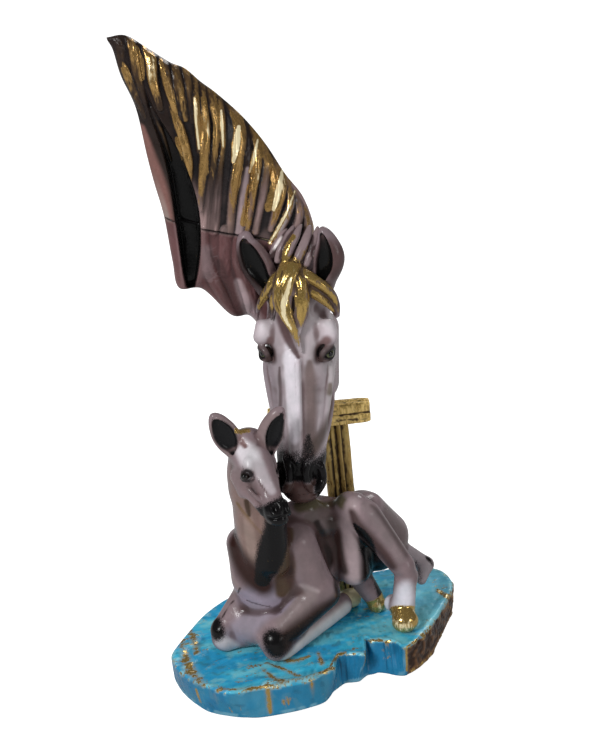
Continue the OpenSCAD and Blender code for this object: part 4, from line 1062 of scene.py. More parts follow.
# Darker on the poll; mauve in the grooves and brown in the broad hollows above the muzzle, partly painted
# shade; then the lips
paint = lay(
    paint,
    ((.16, .11, .12), 0.8 * ease((.10 - t) / .06)),
    ((.13, .085, .085), 0.8 * ease(-proud / 0.35)),
    ((.085, .050, .048), 0.75 * ease(-wide_proud / 1.5 - 0.15) * ease((.72 - t) / .1)),
    ((.058, .032, .028), lips),
    ((.115, .066, .062), lips * stroke(local, [(.003, .09, .90, .030), (.02, .07, .96, .04)]) * 0.8))
for outer, inner in mare_ears.values():
    leaf = covered(outer, 1.25)
    deep = stroke(local, [(*row[:3], max(row[3:]) * 1.22) for row in inner], 0.22)
    paint = lay(
        paint,
        ((.060, .034, .034), leaf * 0.95),
        ((.15, .10, .10), leaf * ease(proud / 0.45) * 0.7),
        ((.020, .013, .013), leaf * ease((-.160 - s + .5 * (t + .05).clip(0)) / .014) * 0.9),
        ((.075, .045, .043), leaf * ease((s - .140) / .02) * 0.9),
        ((.003, .003, .003), deep * ease(0.6 - proud / 0.5)))
crown = np.max([covered(rows, 1.5) for rows in poll_locks], axis=0)
crown_painted_glint = stroke(local, [(-.034, .05, -.085, .004), (-.052, .06, -.050, .007), (-.074, .06, -.012, .004)])
# Mauve on the poll locks, paler on what stands out, a white painted highlight down one lock, and brown on the
# forelock
paint = lay(
    paint,
    ((.050, .030, .030), crown * 0.95),
    ((.24, .18, .185), crown * ease(proud / 0.35 - 0.1 + 0.4 * puffs)),
    ((.78, .72, .70), crown_painted_glint * 0.9),
    ((.055, .034, .016), hair))
print("paint of the mare's head on", len(paint), "points")

# %% Spray and gold of the mare's head
# Black dust on the lowest quarter of the head, not on its lips or hair
spray = ease((t - .710 + 0.05 * puffs) / .155) * (1 - 0.85 * lips)
# Painted shade right of the nose, carried down into the black
spray = np.maximum(spray, 0.7 * stroke(local, [(.045, .08, .72, .014), (.045, .09, .80, .05)], 1.8))
spray = spray * (1 - hair)
gold = hair * (0.20 + 0.70 * ease(proud / 0.45 + 0.45)) + 0.25 * hair * puffs
# Strokes of gold: amount, whether only hair takes them, softness, then places and half widths
locks_gold = [
    (.85, False, 1.2, [(.01, .06, -.07, .01), (-.02, .08, -.015, .014), (-.03, .09, .03, .016)]),
    (.6, False, 1.2, [(.06, .06, -.04, .008), (.04, .08, .01, .012)]),
    # These two strokes pass one, so the gold turns to a pale painted highlight on the forelock
    (1.5, True, 1.1, [(.005, .13, .08, .007), (-.008, .14, .133, .013), (-.024, .14, .18, .015),
        (-.022, .14, .23, .011), (.004, .14, .29, .007)]),
    (1.3, True, 1.2, [(.085, .11, .085, .006), (.125, .1, .112, .007)])]
for amount, on_hair, soft, rows in locks_gold:
    gold = np.maximum(gold, amount * stroke(local, rows, soft) * (hair if on_hair else 1.0))
make_piece("mare_head_cast", mare_points, mare_faces, resin_mare, "mare_head", ("mare_head",),
           paint=paint, spray=spray, gold=gold)

# %% [markdown]
# ## The foal
# The foal reclines with its fore legs folded, one hind leg drawn up, its neck upright and its head turned
# to the viewer's right. Body and head are clay of the same kind as the mare's. Rows of the body are
# shares of its length, from the middle of the base and its top.

# %% Forms of the foal
FOAL_LONG = 100.0
foal_head = head_frame((-23.5, -20.5, BASE_TOP + 132.0), (.24, -.64, -.73), (.63, -.40, .60), 50.0)
foal_forms = [
    ((-.1, .09, .39), (.1, .19, .44), (.22, .36), (.17, .28), 5),
    ((-.14, .01, .64), (.01, .01, .735), (.09, .1), (.08, .08), 6),
    ((.04, .06, .65), (.2, .12, .62), (.11, .09), (.11, .085), 7),
    ((.25, .06, .7), (.245, .07, .31), (.08, .09), (.095, .11), 4),
    ((-.25, -.05, .36), (-.16, 0, .38), (.17, .24), (.2, .27), 5),
    ((-.235, -.05, .52), (-.245, -.17, 1.06), (.15, .19), (.118, .14), 6),
    ((-.245, -.15, 1), (-.245, -.19, 1.22), (.118, .14), (.11, .12), 6),
    ((-.18, -.2, .56), (-.16, -.26, .86), (.08, .08), (.07, .07), 4),
    ((-.35, -.04, .6), (-.34, -.07, .4), (.085, .12), (.085, .12), 3),
    ((-.06, -.1, .6), (.025, -.13, .34), (.11, .11), (.095, .1), 4),
    ((.05, -.12, .3), (-.22, -.27, .12), (.1, .115), (.075, .08), 3),
    ((-.235, -.28, .115), (-.22, -.29, .08), (.076, .082), (.074, .08), 2),
    ((-.18, -.26, .06), (.16, .11, .06), (.061, .07), (.056, .066), 3),
    ((-.36, -.04, .25), (-.49, -.1, .13), (.085, .095), (.065, .07), 3),
    ((-.515, -.115, .115), (-.51, -.13, .07), (.064, .072), (.066, .068), 2),
    ((-.49, -.12, .05), (-.32, -.1, .06), (.055, .055), (.06, .06), 3),
    ((-.38, -.11, .13), (-.24, -.19, .14), (.09, .1), (.11, .11), 4),
    ((.29, .17, .56), (.41, .25, .36), (.14, .17), (.15, .18), 5),
    ((.425, .2, .4), (.35, .11, .64), (.105, .13), (.08, .1), 5),
    ((.288, .01, .73), (.31, .01, .68), (.062, .08), (.07, .08), 3),
    ((.32, 0, .66), (.5, -.05, .37), (.085, .1), (.06, .07), 3),
    ((.52, -.05, .35), (.53, -.05, .3), (.055, .07), (.055, .065), 2),
    ((.515, -.05, .27), (.49, -.07, .11), (.062, .065), (.065, .06), 3),
    ((.44, 0, .1), (.48, -.06, .11), (.05, .05), (.06, .06), 3),
    ((.26, .13, .24), (.34, .12, .08), (.07, .07), (.055, .055), 3),
    ((.54, .25, .28), (.655, .21, .2), (.045, .05), (.042, .045), 2),
    ((.655, .21, .2), (.62, .17, .13), (.042, .045), (.03, .03), 2)]
foal_hoofs = [
    ((.19, .16, .06), (.215, .185, .05), (.055, .055), (.06, .055), 1),
    ((.345, .12, .06), (.355, .11, .04), (.052, .052), (.056, .052), 1),
    ((.485, -.1, .08), (.49, -.13, .06), (.065, .07), (.075, .065), 1)]
foal_head_forms = [
    ((0, -.12, .1), (0, -.08, .36), (.16, .16), (.2, .19), .06),
    ((0, 0, .28), (0, .02, .56), (.15, .12), (.12, .1), .05),
    ((0, -.06, .5), (0, -.02, .84), (.135, .14), (.105, .11), .06),
    ((0, 0, .87), (0, 0, .93), (.125, .115), (.115, .105), .05),
    ((0, -.1, .8), (0, -.09, .92), (.08, .07), (.07, .06), .04),
    ((-.04, -.02, .02), (-.03, .04, .14), (.1, .07), (.07, .05), .03),
    ((.08, -.22, .36), (.075, -.23, .54), (.085, .15), (.075, .12), .05),
    ((.08, -.19, .54), (.05, -.12, .82), (.06, .09), (.045, .05), .04),
    ((.16, .02, .33), (.166, .008, .39), (.045, .045), (.04, .04), .04),
    ((.075, .045, .86), (.082, .03, .92), (.045, .05), (.045, .045), .02)]
foal_ridge = [
    ((.02, .08, .4), (.012, .08, .78), (.075, .022), (.05, .022), .02)]
foal_eye = (.205, -.055, .455)
foal_strands = {
    "upper lid": [(.168, .008, .498, .007, .007), (.19, .008, .454, .01, .01),
        (.207, -.022, .426, .012, .011), (.217, -.07, .43, .01, .01), (.21, -.108, .455, .006, .006)],
    "lower lid": [(.168, .008, .498, .006, .006), (.191, -.008, .502, .007, .007),
        (.209, -.042, .5, .007, .007), (.217, -.08, .486, .007, .007), (.21, -.108, .455, .005, .005)],
    "cheek crest": [(.185, -.1, .56, .014, .02), (.16, -.08, .64, .014, .02),
        (.125, -.05, .73, .01, .015)],
    "nostril rim": [(.062, .09, .8, .01, .012), (.046, .112, .84, .014, .014),
        (.044, .112, .89, .014, .014), (.066, .095, .935, .013, .013), (.1, .06, .93, .012, .012),
        (.114, .04, .89, .01, .012)]}
foal_cuts = [
    ((.198, -.05, .455), (.2, -.052, .46), (.046, .046), (.046, .046), .015),
    ((.086, .095, .862), (.092, .065, .91), (.022, .034), (.022, .03), .01),
    ((.135, .1, .5), (.105, .1, .78), (.01, .01), (.009, .009), .06)]
foal_mouth = [
    (0, .1, .985, .008, .01), (.05, .08, .975, .008, .01), (.095, .02, .955, .008, .01),
    (.108, -.05, .91, .006, .01)]
foal_ears = {
    "left": ([(-.31, -.22, 1.23, .036, .034), (-.335, -.232, 1.29, .056, .034),
        (-.358, -.236, 1.35, .058, .03), (-.384, -.236, 1.41, .038, .02),
        (-.402, -.235, 1.445, .01, .009)], [(-.322, -.262, 1.25, .018, .022),
        (-.34, -.27, 1.3, .045, .028), (-.36, -.268, 1.355, .05, .026), (-.384, -.258, 1.405, .03, .016),
        (-.399, -.248, 1.435, .008, .008)]),
    "right": ([(-.155, -.235, 1.22, .036, .034), (-.135, -.24, 1.29, .054, .034),
        (-.112, -.24, 1.35, .052, .03), (-.082, -.24, 1.41, .034, .02), (-.056, -.24, 1.445, .01, .009)],
        [(-.132, -.265, 1.23, .018, .022), (-.112, -.272, 1.29, .038, .028),
        (-.094, -.268, 1.35, .038, .026), (-.07, -.258, 1.4, .024, .016),
        (-.056, -.25, 1.43, .008, .008)])}


def body_rows(rows):
    """Rows of the foal's body as places and widths in millimetres."""
    r = np.asarray(rows, float) * FOAL_LONG
    r[:, 2] += BASE_TOP
    return r


foot = np.array([0, 0, BASE_TOP])
foal_clay = Clay((-68, -66, 14), (78, 56, 170), 0.8)
for a, b, size_a, size_b, soft in foal_forms + foal_hoofs:
    foal_clay.limb(foot + FOAL_LONG * np.array(a), foot + FOAL_LONG * np.array(b),
                   np.array(size_a) * FOAL_LONG, np.array(size_b) * FOAL_LONG, soft)
add_forms(foal_clay, foal_head, foal_head_forms)
add_forms(foal_clay, foal_head, foal_ridge, both=False)
add_forms(foal_clay, foal_head, foal_cuts, cut=True)
add_strands(foal_clay, foal_head, foal_strands.values(), 1.0)
for outer, inner in foal_ears.values():
    foal_clay.strand(body_rows(outer), 2.5, np.array([1.0, 0, 0]))
    foal_clay.strand(body_rows(inner), 0.6, np.array([1.0, 0, 0]), cut=True)
add_strands(foal_clay, foal_head, [foal_mouth], 0.8, cut=True)
foal_clay.value = np.maximum(foal_clay.value, (BASE_TOP - 1.0 - foal_clay.axes[2])[None, None, :])
foal_points, foal_faces = foal_clay.skin()
print("foal", foal_clay.count, len(foal_faces), "squares")

# %% [markdown]
# The foal is painted like the mare, from pale pearl to black, but each patch has its own stroke here:
# painted light on a limb, painted shade between two limbs, and the black dust on its knees, chest and muzzle.

# %% Strokes of paint on the foal
# Strokes of paint on the body, airbrush and some painted light and shade: amount, colour, softness of the
# edge, then places and half widths as shares of the body's length
# shares of the body's length
body_strokes = [
    (1, (.215, .145, .125), .9, [(-.25, -.22, 1.06, .12), (-.26, -.24, .85, .13), (-.27, -.24, .66, .12)]),
    (1, (.27, .235, .29), .9, [(-.38, -.16, .32, .06), (-.27, -.22, .35, .09), (-.17, -.2, .31, .08)]),
    (1, (.27, .235, .275), .9, [(-.3, -.2, .24, .07), (-.38, -.21, .18, .07), (-.44, -.18, .11, .06)]),
    (1, (.08, .052, .032), .6, [(-.15, -.195, .37, .05), (-.125, -.24, .52, .06), (-.11, -.26, .65, .045),
        (-.085, -.155, .7, .03)]),
    (1, (.18, .135, .14), .7, [(-.03, -.08, .72, .04), (-.013, -.194, .63, .05), (.018, -.215, .48, .065),
        (.032, -.23, .37, .06)]),
    (1, (.22, .175, .175), .8, [(-.02, -.21, .34, .05), (-.072, -.25, .29, .055),
        (-.15, -.295, .23, .06)]),
    # Painted highlight along the top of the near forearm
    (.5, (.4, .34, .34), 1.8, [(-.17, -.2, .28, .014), (-.1, -.184, .35, .016), (-.04, -.207, .393, .016),
        (.033, -.232, .362, .01)]),
    # Painted shadow of the mare's head on the foal's back
    (1, (.09, .076, .046), .7, [(-.015, -.042, .79, .04), (.083, 0, .77, .05), (.186, .08, .745, .04),
        (.226, -.014, .747, .03)]),
    (.9, (.12, .092, .088), .8, [(.033, -.068, .722, .035), (.113, -.015, .7, .045), (.12, 0, .58, .04)]),
    # The flank, painted lighter to make up for the shade on it: painted light
    (1, (.38, .3, .31), .9, [(.262, -.037, .75, .045), (.248, -.034, .6, .06), (.242, -.036, .45, .065),
        (.225, -.035, .29, .06)]),
    (1, (.21, .165, .17), .7, [(.34, -.05, .74, .035), (.4, -.06, .66, .045), (.455, -.076, .55, .045),
        (.5, -.09, .45, .04)]),
    (1, (.135, .098, .1), .8, [(.44, .13, .6, .06), (.5, .15, .47, .07), (.54, .21, .34, .06)]),
    (1, (.66, .66, .72), 1.6, [(.52, -.09, .29, .026), (.5, -.12, .2, .062), (.49, -.15, .13, .08)]),
    (1, (.6, .62, .68), .8, [(.395, -.014, .11, .045), (.43, 0, .07, .05)]),
    (1, (.62, .58, .57), .8, [(.175, .05, .05, .05), (.044, -.1, .04, .055), (-.071, -.225, .04, .055),
        (-.154, -.315, .03, .05)]),
    (1, (.46, .44, .46), .9, [(-.52, -.2, .08, .045), (-.467, -.178, .036, .04)]),
    (.8, (.3, .22, .19), .9, [(-.285, -.267, .9, .022), (-.292, -.267, .83, .028),
        (-.293, -.253, .73, .032), (-.293, -.239, .62, .026)]),
    (1, (.03, .012, .01), 1.2, [(-.375, -.111, .72, .05), (-.372, -.154, .61, .076),
        (-.34, -.186, .542, .084), (-.3, -.219, .483, .084), (-.255, -.23, .43, .066)]),
    # Painted highlight on the left edge of the chest
    (.7, (.24, .18, .175), 1.2, [(-.43, -.087, .56, .014), (-.43, -.107, .465, .018),
        (-.4, -.167, .4, .02)]),
    # Painted shade behind the elbow and under the near forearm
    (1, (.018, .01, .009), 1.1, [(.062, -.056, .68, .02), (.105, -.02, .52, .032), (.125, -.03, .4, .036),
        (.14, -.16, .34, .03), (.15, -.161, .27, .024)]),
    (1, (.026, .013, .01), 1.2, [(.135, -.192, .245, .062), (.042, -.25, .222, .07),
        (-.074, -.3, .172, .07), (-.17, -.336, .135, .068)]),
    (1, (.01, .007, .006), .9, [(.295, 0, .62, .02), (.322, -.02, .52, .045), (.335, -.03, .42, .055),
        (.325, -.03, .29, .055)]),
    (.9, (.05, .025, .023), 1.3, [(.262, -.055, .72, .024), (.28, -.08, .65, .034), (.34, -.09, .56, .036),
        (.405, -.1, .46, .036), (.44, -.1, .39, .03)]),
    (.6, (.05, .034, .032), 1.8, [(.37, -.037, .74, .014), (.45, -.054, .6, .018),
        (.525, -.076, .44, .02)]),
    (.9, (.04, .026, .023), 1.2, [(.147, -.012, .66, .032), (.168, .012, .5, .036),
        (.185, -.013, .35, .03)]),
    (1, (.34, .3, .315), .8, [(.58, .213, .29, .045), (.648, .185, .246, .05), (.614, .158, .167, .05)]),
    (.9, (.03, .02, .02), .9, [(-.382, -.178, .402, .006), (-.437, -.103, .278, .006),
        (-.5, -.126, .205, .006)]),
    (.8, (.06, .045, .05), .9, [(-.354, -.179, .323, .005), (-.296, -.206, .308, .005),
        (-.237, -.209, .287, .005), (-.178, -.233, .259, .005)])]
# Black speckle on the body: amount, softness, places
body_sprays = [
    (1, .9, [(-.135, -.32, .93, .062), (-.13, -.307, .79, .088), (-.185, -.295, .66, .085),
        (-.22, -.27, .57, .07), (-.255, -.234, .47, .045)]),
    (1, 1.8, [(-.555, -.137, .17, .05), (-.545, -.177, .14, .05)]),
    (1, 1.8, [(-.238, -.343, .163, .06), (-.225, -.359, .119, .062)]),
    (.6, 1.5, [(-.19, -.34, .14, .05), (-.1, -.3, .165, .038), (.03, -.245, .225, .03)]),
    (1, .9, [(.272, -.06, .655, .016), (.318, -.065, .55, .044), (.36, .03, .4, .07),
        (.37, .075, .33, .075), (.394, .154, .225, .08), (.383, .13, .117, .06)]),
    (.5, 1.6, [(.57, .23, .27, .02), (.6, .185, .22, .025), (.6, .15, .15, .03)]),
    (.8, 1.2, [(.665, .2, .26, .014), (.68, .19, .21, .018)])]
# The same on the head, as shares of its length to the side, out and down the face
head_strokes = [
    (1, (.2, .145, .148), .9, [(-.15, -.16, .42, .1), (-.12, -.1, .6, .1), (.02, -.1, .7, .1)]),
    (1, (.6, .575, .6), 1, [(-.15, -.03, .14, .085), (-.155, .04, .27, .115), (-.15, .075, .37, .09)]),
    (.9, (.42, .38, .4), 1, [(-.12, .08, .42, .075), (-.09, .08, .56, .06), (-.05, .08, .68, .045)]),
    (.9, (.46, .38, .39), .9, [(.084, .107, .36, .055)]),
    (.9, (.16, .11, .11), 1, [(.105, .08, .47, .045), (.093, .063, .62, .045), (.06, .086, .74, .04)]),
    (.35, (.085, .062, .066), 1.8, [(-.16, -.08, .5, .05), (-.15, -.07, .62, .06), (-.1, -.05, .72, .06)]),
    (.8, (.07, .04, .036), .9, [(-.195, .05, .4, .01), (-.14, .035, .53, .01), (-.095, .045, .69, .01)]),
    (.9, (.045, .026, .014), .9, [(.028, -.395, .6, .03), (.07, -.453, .656, .03),
        (.117, -.521, .71, .02)]),
    (.9, (.16, .095, .04), .9, [(.028, -.528, .57, .03), (.115, -.568, .706, .036),
        (.19, -.594, .81, .036), (.243, -.578, .888, .025)]),
    (.9, (.13, .055, .048), 1, [(-.142, -.012, .07, .04), (-.128, .016, .155, .026)])]
# Lashes above each eye, from and to
foal_lashes = [
    ((.182, -.145, .315), (.197, -.075, .385)),
    ((.198, -.04, .325), (.205, -.05, .395)),
    ((.185, .035, .375), (.195, -.01, .41))]
print(len(body_strokes) + len(head_strokes), "strokes of colour,", len(body_sprays), "of black")

# %% Paint of the foal
local = in_head(foal_head, foal_points)
body = (foal_points - foot) / FOAL_LONG
proud = proudness(foal_points, foal_faces, 20)
wide_proud = proudness(foal_points, foal_faces, 90)
puffs = cloud(foal_points, 12.0) * 0.6 + cloud(foal_points, 5.0, 1.0) * 0.3
paint = lay(ground_coat((.23, .175, .185), body), ((.15, .105, .11), 0.5 * ease(puffs + 0.3)))
paint = airbrush(paint, body, body_strokes)
spray = np.zeros(len(body))
for amount, soft, rows in body_sprays:
    spray = np.maximum(spray, amount * stroke(body, rows, soft))
s, f, t = local.T
# Strokes on the head stay off the neck and the body
head_zone = ease((t + .12) / .1) * ease((f + .62) / .1)
head_zone = head_zone * ease((0.34 - np.abs(s)) / .05) * ease((1.1 - t) / .05)
paint = airbrush(paint, local, head_strokes, head_zone)
muzzle = ease((f + .30) / .08) * ease((t - .715 + .05 * puffs + 0.25 * np.maximum(-f, 0)) / .14)
spray = np.maximum(spray, head_zone * muzzle)
gold = 0.75 * head_zone * stroke(local, [(-.15, .013, -.03, .045), (-.05, .039, -.01, .045)])
for sign in (1, -1):
    turned = (local - np.array(foal_eye) * (sign, 1, 1)) * (sign, 0.8, 1.15)
    ring = np.linalg.norm(turned, axis=1)
    paint = lay(paint,
                ((.19, .145, .15), ease((0.120 - ring) / 0.07) * 0.6),
                (SOOT, ease((0.090 - ring) / 0.016) * 0.95))
    for start, end in foal_lashes:
        lash = [(sign * start[0], *start[1:], .004), (sign * end[0], *end[1:], .007)]
        paint = lay(paint, (SOOT, 0.8 * stroke(local, lash, 1.2)))
# Wine in the grooves and dark brown in the broad hollows, partly painted shade
paint = lay(paint,
            (WINE, 0.6 * ease(-proud / 0.4)),
            ((.034, .019, .017), 0.75 * ease(-wide_proud / 1.9 - 0.10)))
for outer, inner in foal_ears.values():
    leaf = stroke(body, [(*row[:3], row[3] * 1.3) for row in outer], 0.4)
    paint = lay(paint,
                ((.16, .11, .11), leaf * 0.9),
                ((.26, .20, .20), leaf * ease(proud / 0.5) * 0.6),
                ((.007, .007, .008), stroke(body, [(*row[:3], row[3] * 1.15) for row in inner], 0.25)))
    spray = spray * (1 - leaf)
for number, (a, b, size_a, size_b, _) in enumerate(foal_hoofs):
    grip = stroke(body, [(*a, size_a[0] * 1.22), (*b, size_b[0] * 1.25)], 0.15)
    # Hoof gold passes one in places, a pale painted highlight; on the first hoof, shaded by knee and flank,
    # all over
    gold = np.maximum(gold, grip * ((0.98 if number else 1.5) + 0.5 * puffs))
    spray = spray * (1 - grip)
    paint = lay(paint, ((.30, .22, .09), grip))
make_piece("foal_cast", foal_points, foal_faces, resin_foal, "foal", ("foal",),
           paint=paint, spray=spray, gold=gold)

# %% [markdown]
# ## The base
# The base is a moulded bank of water: a flat blue top with a rolled rim, a notch at the front whose
# walls are fluted like a small waterfall, and bark-like rock round the right side. It could be a
# displaced cylinder. Here one parameter runs round the outline and the other up the wall and in over the
# top, so flutes and bark are written where they lie round the edge.

# %% Outline of the base
BASE_WIDE = 163.0
BASE_DEEP = 112.0
# Rim and foot of the outline, as shares of the width and depth, from the left end round the front
outline = np.array([
    (-.488, -.18, -.496, -.11), (-.472, -.25, -.474, -.2), (-.436, -.33, -.44, -.29),
    (-.387, -.4, -.38, -.4), (-.313, -.48, -.3, -.46), (-.264, -.49, -.25, -.48),
    (-.215, -.475, -.2, -.49), (-.123, -.48, -.11, -.475), (-.049, -.46, -.05, -.455),
    (.012, -.41, .007, -.42), (.048, -.37, .035, -.35), (.061, -.28, .06, -.31), (.086, -.265, .08, -.285),
    (.117, -.275, .105, -.285), (.153, -.28, .128, -.28), (.163, -.155, .155, -.24),
    (.181, -.185, .187, -.225), (.221, -.19, .22, -.24), (.258, -.205, .251, -.265),
    (.29, -.27, .29, -.265), (.344, -.2, .335, -.215), (.38, -.125, .385, -.12), (.423, -.02, .42, 0),
    (.46, .09, .45, .1), (.491, .2, .475, .19), (.5, .27, .492, .27), (.494, .35, .48, .36),
    (.466, .43, .455, .43), (.405, .48, .4, .475), (.319, .5, .315, .49), (.221, .48, .22, .475),
    (.123, .49, .12, .48), (.012, .47, .01, .465), (-.098, .49, -.095, .48), (-.209, .455, -.205, .45),
    (-.307, .37, -.3, .365), (-.387, .24, -.38, .24), (-.442, .09, -.44, .1), (-.485, -.05, -.485, -.04),
    (-.498, -.12, -.5, -.07)])
outline = outline * (BASE_WIDE, BASE_DEEP, BASE_WIDE, BASE_DEEP)
closed = np.vstack([outline, outline[:1]])
around = 760
FINE_PARTS = 12
fine = smooth_course(np.vstack([outline[-1:], closed, outline[1:2]]), FINE_PARTS)[FINE_PARTS:-FINE_PARTS]
fine_step = np.concatenate([[0], np.cumsum(np.linalg.norm(np.diff(fine[:, :2], axis=0), axis=1))])
girth = fine_step[-1]
at = np.arange(around) / around * girth
rim_x, rim_y, foot_x, foot_y = [np.interp(at, fine_step, fine[:, c]) for c in range(4)]
place_of = fine_step[::FINE_PARTS]
print("girth of the base in mm", round(girth, 1))


# %% Relief of the base
def between(first, last, soft=2.0):
    """1 on the stretch of the outline from one row to another, eased over some millimetres."""
    return ease((at - place_of[first]) / soft + 0.5) * ease((place_of[last] - at) / soft + 0.5)


# The fluted walls of the notch, and the rock from there round the right side and the back
falls = np.maximum(between(11, 14), between(15, 19))
bark = between(19, 33, 3.0)
wall_rows = 44
top_rows = 76
high = np.linspace(0, 1, wall_rows)[:, None]
lean = ease(high * 1.15)
wall_x = foot_x * (1 - lean) + rim_x * lean
wall_y = foot_y * (1 - lean) + rim_y * lean
tangent = np.stack([np.gradient(rim_x), np.gradient(rim_y)], 1)
tangent = tangent / np.linalg.norm(tangent, axis=1, keepdims=True)
out_x, out_y = tangent[:, 1], -tangent[:, 0]
wall_z = UNDERSIDE + (BASE_TOP - UNDERSIDE) * high + np.zeros(around)
round_in = 0.9 * (ease((high - 0.90) / 0.10) ** 2 + ease((0.06 - high) / 0.06) ** 2)
seat = np.stack([wall_x.ravel(), wall_y.ravel(), wall_z.ravel()], 1)
uneven = 0.5 + 0.5 * cloud(at[:, None] * (1, 0, 0), 6.0, 9.0)
flutes = falls * uneven * (0.42 * np.sin(2 * np.pi * at / 3.1 + 1.5 * np.sin(high * 3 + at / 7))
                           + 0.30 * np.sin(2 * np.pi * at / 1.7 + 2 * high))
lumps = (cloud(seat * (1, 1, 0.8), 4.2) * 0.9 + cloud(seat, 1.9, 1.0) * 0.55).reshape(wall_x.shape)
drips = 0.25 * cloud(seat * (1, 1, 0.15), 3.5, 2.0).reshape(wall_x.shape)
hold = ease(high / 0.08) * ease((1 - high) / 0.05)
push = (flutes + bark * (lumps - 0.5) + (1 - bark) * drips + 0.5 * falls * (high - 0.6)) * hold - round_in
wall_x = wall_x + out_x * push
wall_y = wall_y + out_y * push
print("walls", wall_x.shape)

# %% Top of the base
# Rings that shrink to one point inside the outline
heart = np.array([20.0, 22.0])
inward = (np.linspace(0, 1, top_rows + 1)[1:, None]) ** 0.85
top_x = wall_x[-1] * (1 - inward) + heart[0] * inward
top_y = wall_y[-1] * (1 - inward) + heart[1] * inward
top = np.stack([top_x.ravel(), top_y.ravel(), np.zeros(top_x.size)], 1)
edge_d = np.hypot(top_x - wall_x[-1], top_y - wall_y[-1]).ravel()
ripple = 0.35 * cloud(top * (0.6, 1.3, 1), 7.0, 3.0) + 0.22 * cloud(top * (1.3, 0.7, 1), 2.6, 4.0)
bank_strokes = [
    [(-79, -18, 2.6, 1.6), (-74, -8, 3.2, 2), (-68, 0, 3, 1.6), (-66, 10, 2.4, .8)],
    [(-72, -26, 2, .9), (-66, -17, 2.6, 1.3), (-60, -10, 2.2, .8)],
    [(-64, -34, 2, .7), (-56, -26, 2.4, .9), (-50, -22, 1.6, .5)],
    [(-30, -49, 2.2, .9), (-14, -50, 2.6, 1.1), (-2, -47, 2.6, .9), (6, -42, 1.6, .5)],
    [(-12, -40, 2, .6), (2, -36, 2.4, .9), (9, -38, 1.6, .6)],
    [(54, -20, 1.8, .6), (60, -10, 2.4, .9), (68, 4, 2.4, .9), (75, 20, 2, .7)]]
banks, _ = lock_relief(top[:, :2], [[(*row, 0.0) for row in rows] for rows in bank_strokes], fine=0.0)
# Strokes of gold over the edges: places and half widths
gold_strokes = [
    [(-76, 1, 18.8, 1.2), (-73.3, -14.7, 18.8, 2), (-68.9, -31.9, 18.8, 2.4), (-62.6, -44.3, 18.8, 1.4)],
    [(-72.5, 12.6, 19, 1), (-68.7, -.5, 19.4, 1.8), (-66.6, -16, 19, 1)],
    [(-61.4, -49.5, 18.9, .7), (-45.5, -52.4, 18.9, .8), (-29.7, -52.1, 18.9, .9),
     (-16.4, -50.8, 18.9, 1.1), (-4.6, -47.5, 18.9, 1.2), (6.4, -42, 18.9, 1)],
    [(-31, -35.1, 19.2, .9), (-25.8, -43.6, 19.2, 1.4), (-19.6, -51.1, 19, 1.6)],
    [(-28.7, -29.8, 19.2, .7), (-20.3, -37.1, 19.2, 1.2), (-10.9, -46.3, 19, 1)],
    [(-19.5, -27.7, 19.2, 1.2), (-14.7, -31.5, 19.2, 1.9), (-10.3, -30.4, 19.2, 1.7),
     (-5.3, -28.4, 19.2, .9)],
    [(-.3, -25.5, 19.2, .9), (1.3, -37.3, 19.2, 1.3)],
    [(47.3, -30.2, 18.9, .6), (56, -22, 18.9, .7), (62, -14, 18.9, .9), (69, -2, 18.9, .6),
     (75, 10, 18.9, 1), (79.5, 22, 18.9, .7)],
    [(71.8, 25.2, 19.2, 1.4), (75.8, 16.6, 19.2, 1.8)],
    [(5.3, -41.8, 18.9, .7), (9.8, -30.4, 18.9, .8), (14.4, -29, 18.9, .6)],
    [(27.6, -18.9, 18.9, .6), (36.3, -21.5, 18.9, .6), (46.5, -30.3, 18.9, .8)],
    [(-28.4, -54.4, 17.5, 1.6), (-28.6, -53.8, 4, 1.2)],
    [(-57.5, -51, 15.5, 1), (-56, -51, 5, .9)],
    [(-66.5, -41, 14, .8), (-65.5, -41, 6, .8)],
    [(-5.5, -49.5, 16, 1.3), (-5.5, -49, 7, .7)],
    [(25, -31, 18.5, .9), (24.5, -31, 4, .8)],
    [(47.5, -30.2, 18.5, .6), (46.8, -29.6, 4, .5)]]
rim_roll = 0.5 * np.exp(-((edge_d - 1.6) / 1.2) ** 2)
top[:, 2] = BASE_TOP + (ripple + banks * 0.7 + rim_roll) * ease(edge_d / 1.2) - 0.25
under = np.stack([wall_x[0] * 0.5 + heart[0] * 0.5, wall_y[0] * 0.5 + heart[1] * 0.5,
                  np.full(around, UNDERSIDE)], 1)
wall = np.stack([wall_x.ravel(), wall_y.ravel(), wall_z.ravel()], 1)
last_ring = top_x.size - around
base_points = np.vstack([under, wall, top[:last_ring]])
rings = wall_rows + top_rows
base_faces = ring_faces(rings, around)
base_caps = [np.arange(around)[::-1], np.arange(around) + (rings - 1) * around]
print("base grid", rings, "by", around)

# %% [markdown]
# The blue is brushed on in patches from deep to milky, and gold is dry-brushed over every edge. The rock
# at the side is dark brown rubbed with copper.

# %% Paint of the base
proud = proudness(base_points, base_faces, 30)
ring_of = np.repeat(np.arange(rings), around)
x, y, z = base_points.T
on_bark = np.tile(bark, rings) * ease((BASE_TOP - 0.7 - z) / 0.8)
on_falls = np.tile(falls, rings)
on_wall = ease((BASE_TOP - 0.6 - z) / 0.8)
streak = cloud(base_points * (0.5, 1.6, 0.25), 2.4, 7.0) + 0.6 * cloud(base_points, 7.0, 8.0)
brush = cloud(base_points * (0.45, 1.2, 0.5), 9.0, 5.0) + 0.5 * cloud(base_points * (0.5, 1.4, 0.3), 3.2, 6.0)
dabs = cloud(base_points * (0.8, 1.0, 0.5), 2.3, 11.0) + 0.6 * cloud(base_points, 6.0, 12.0)
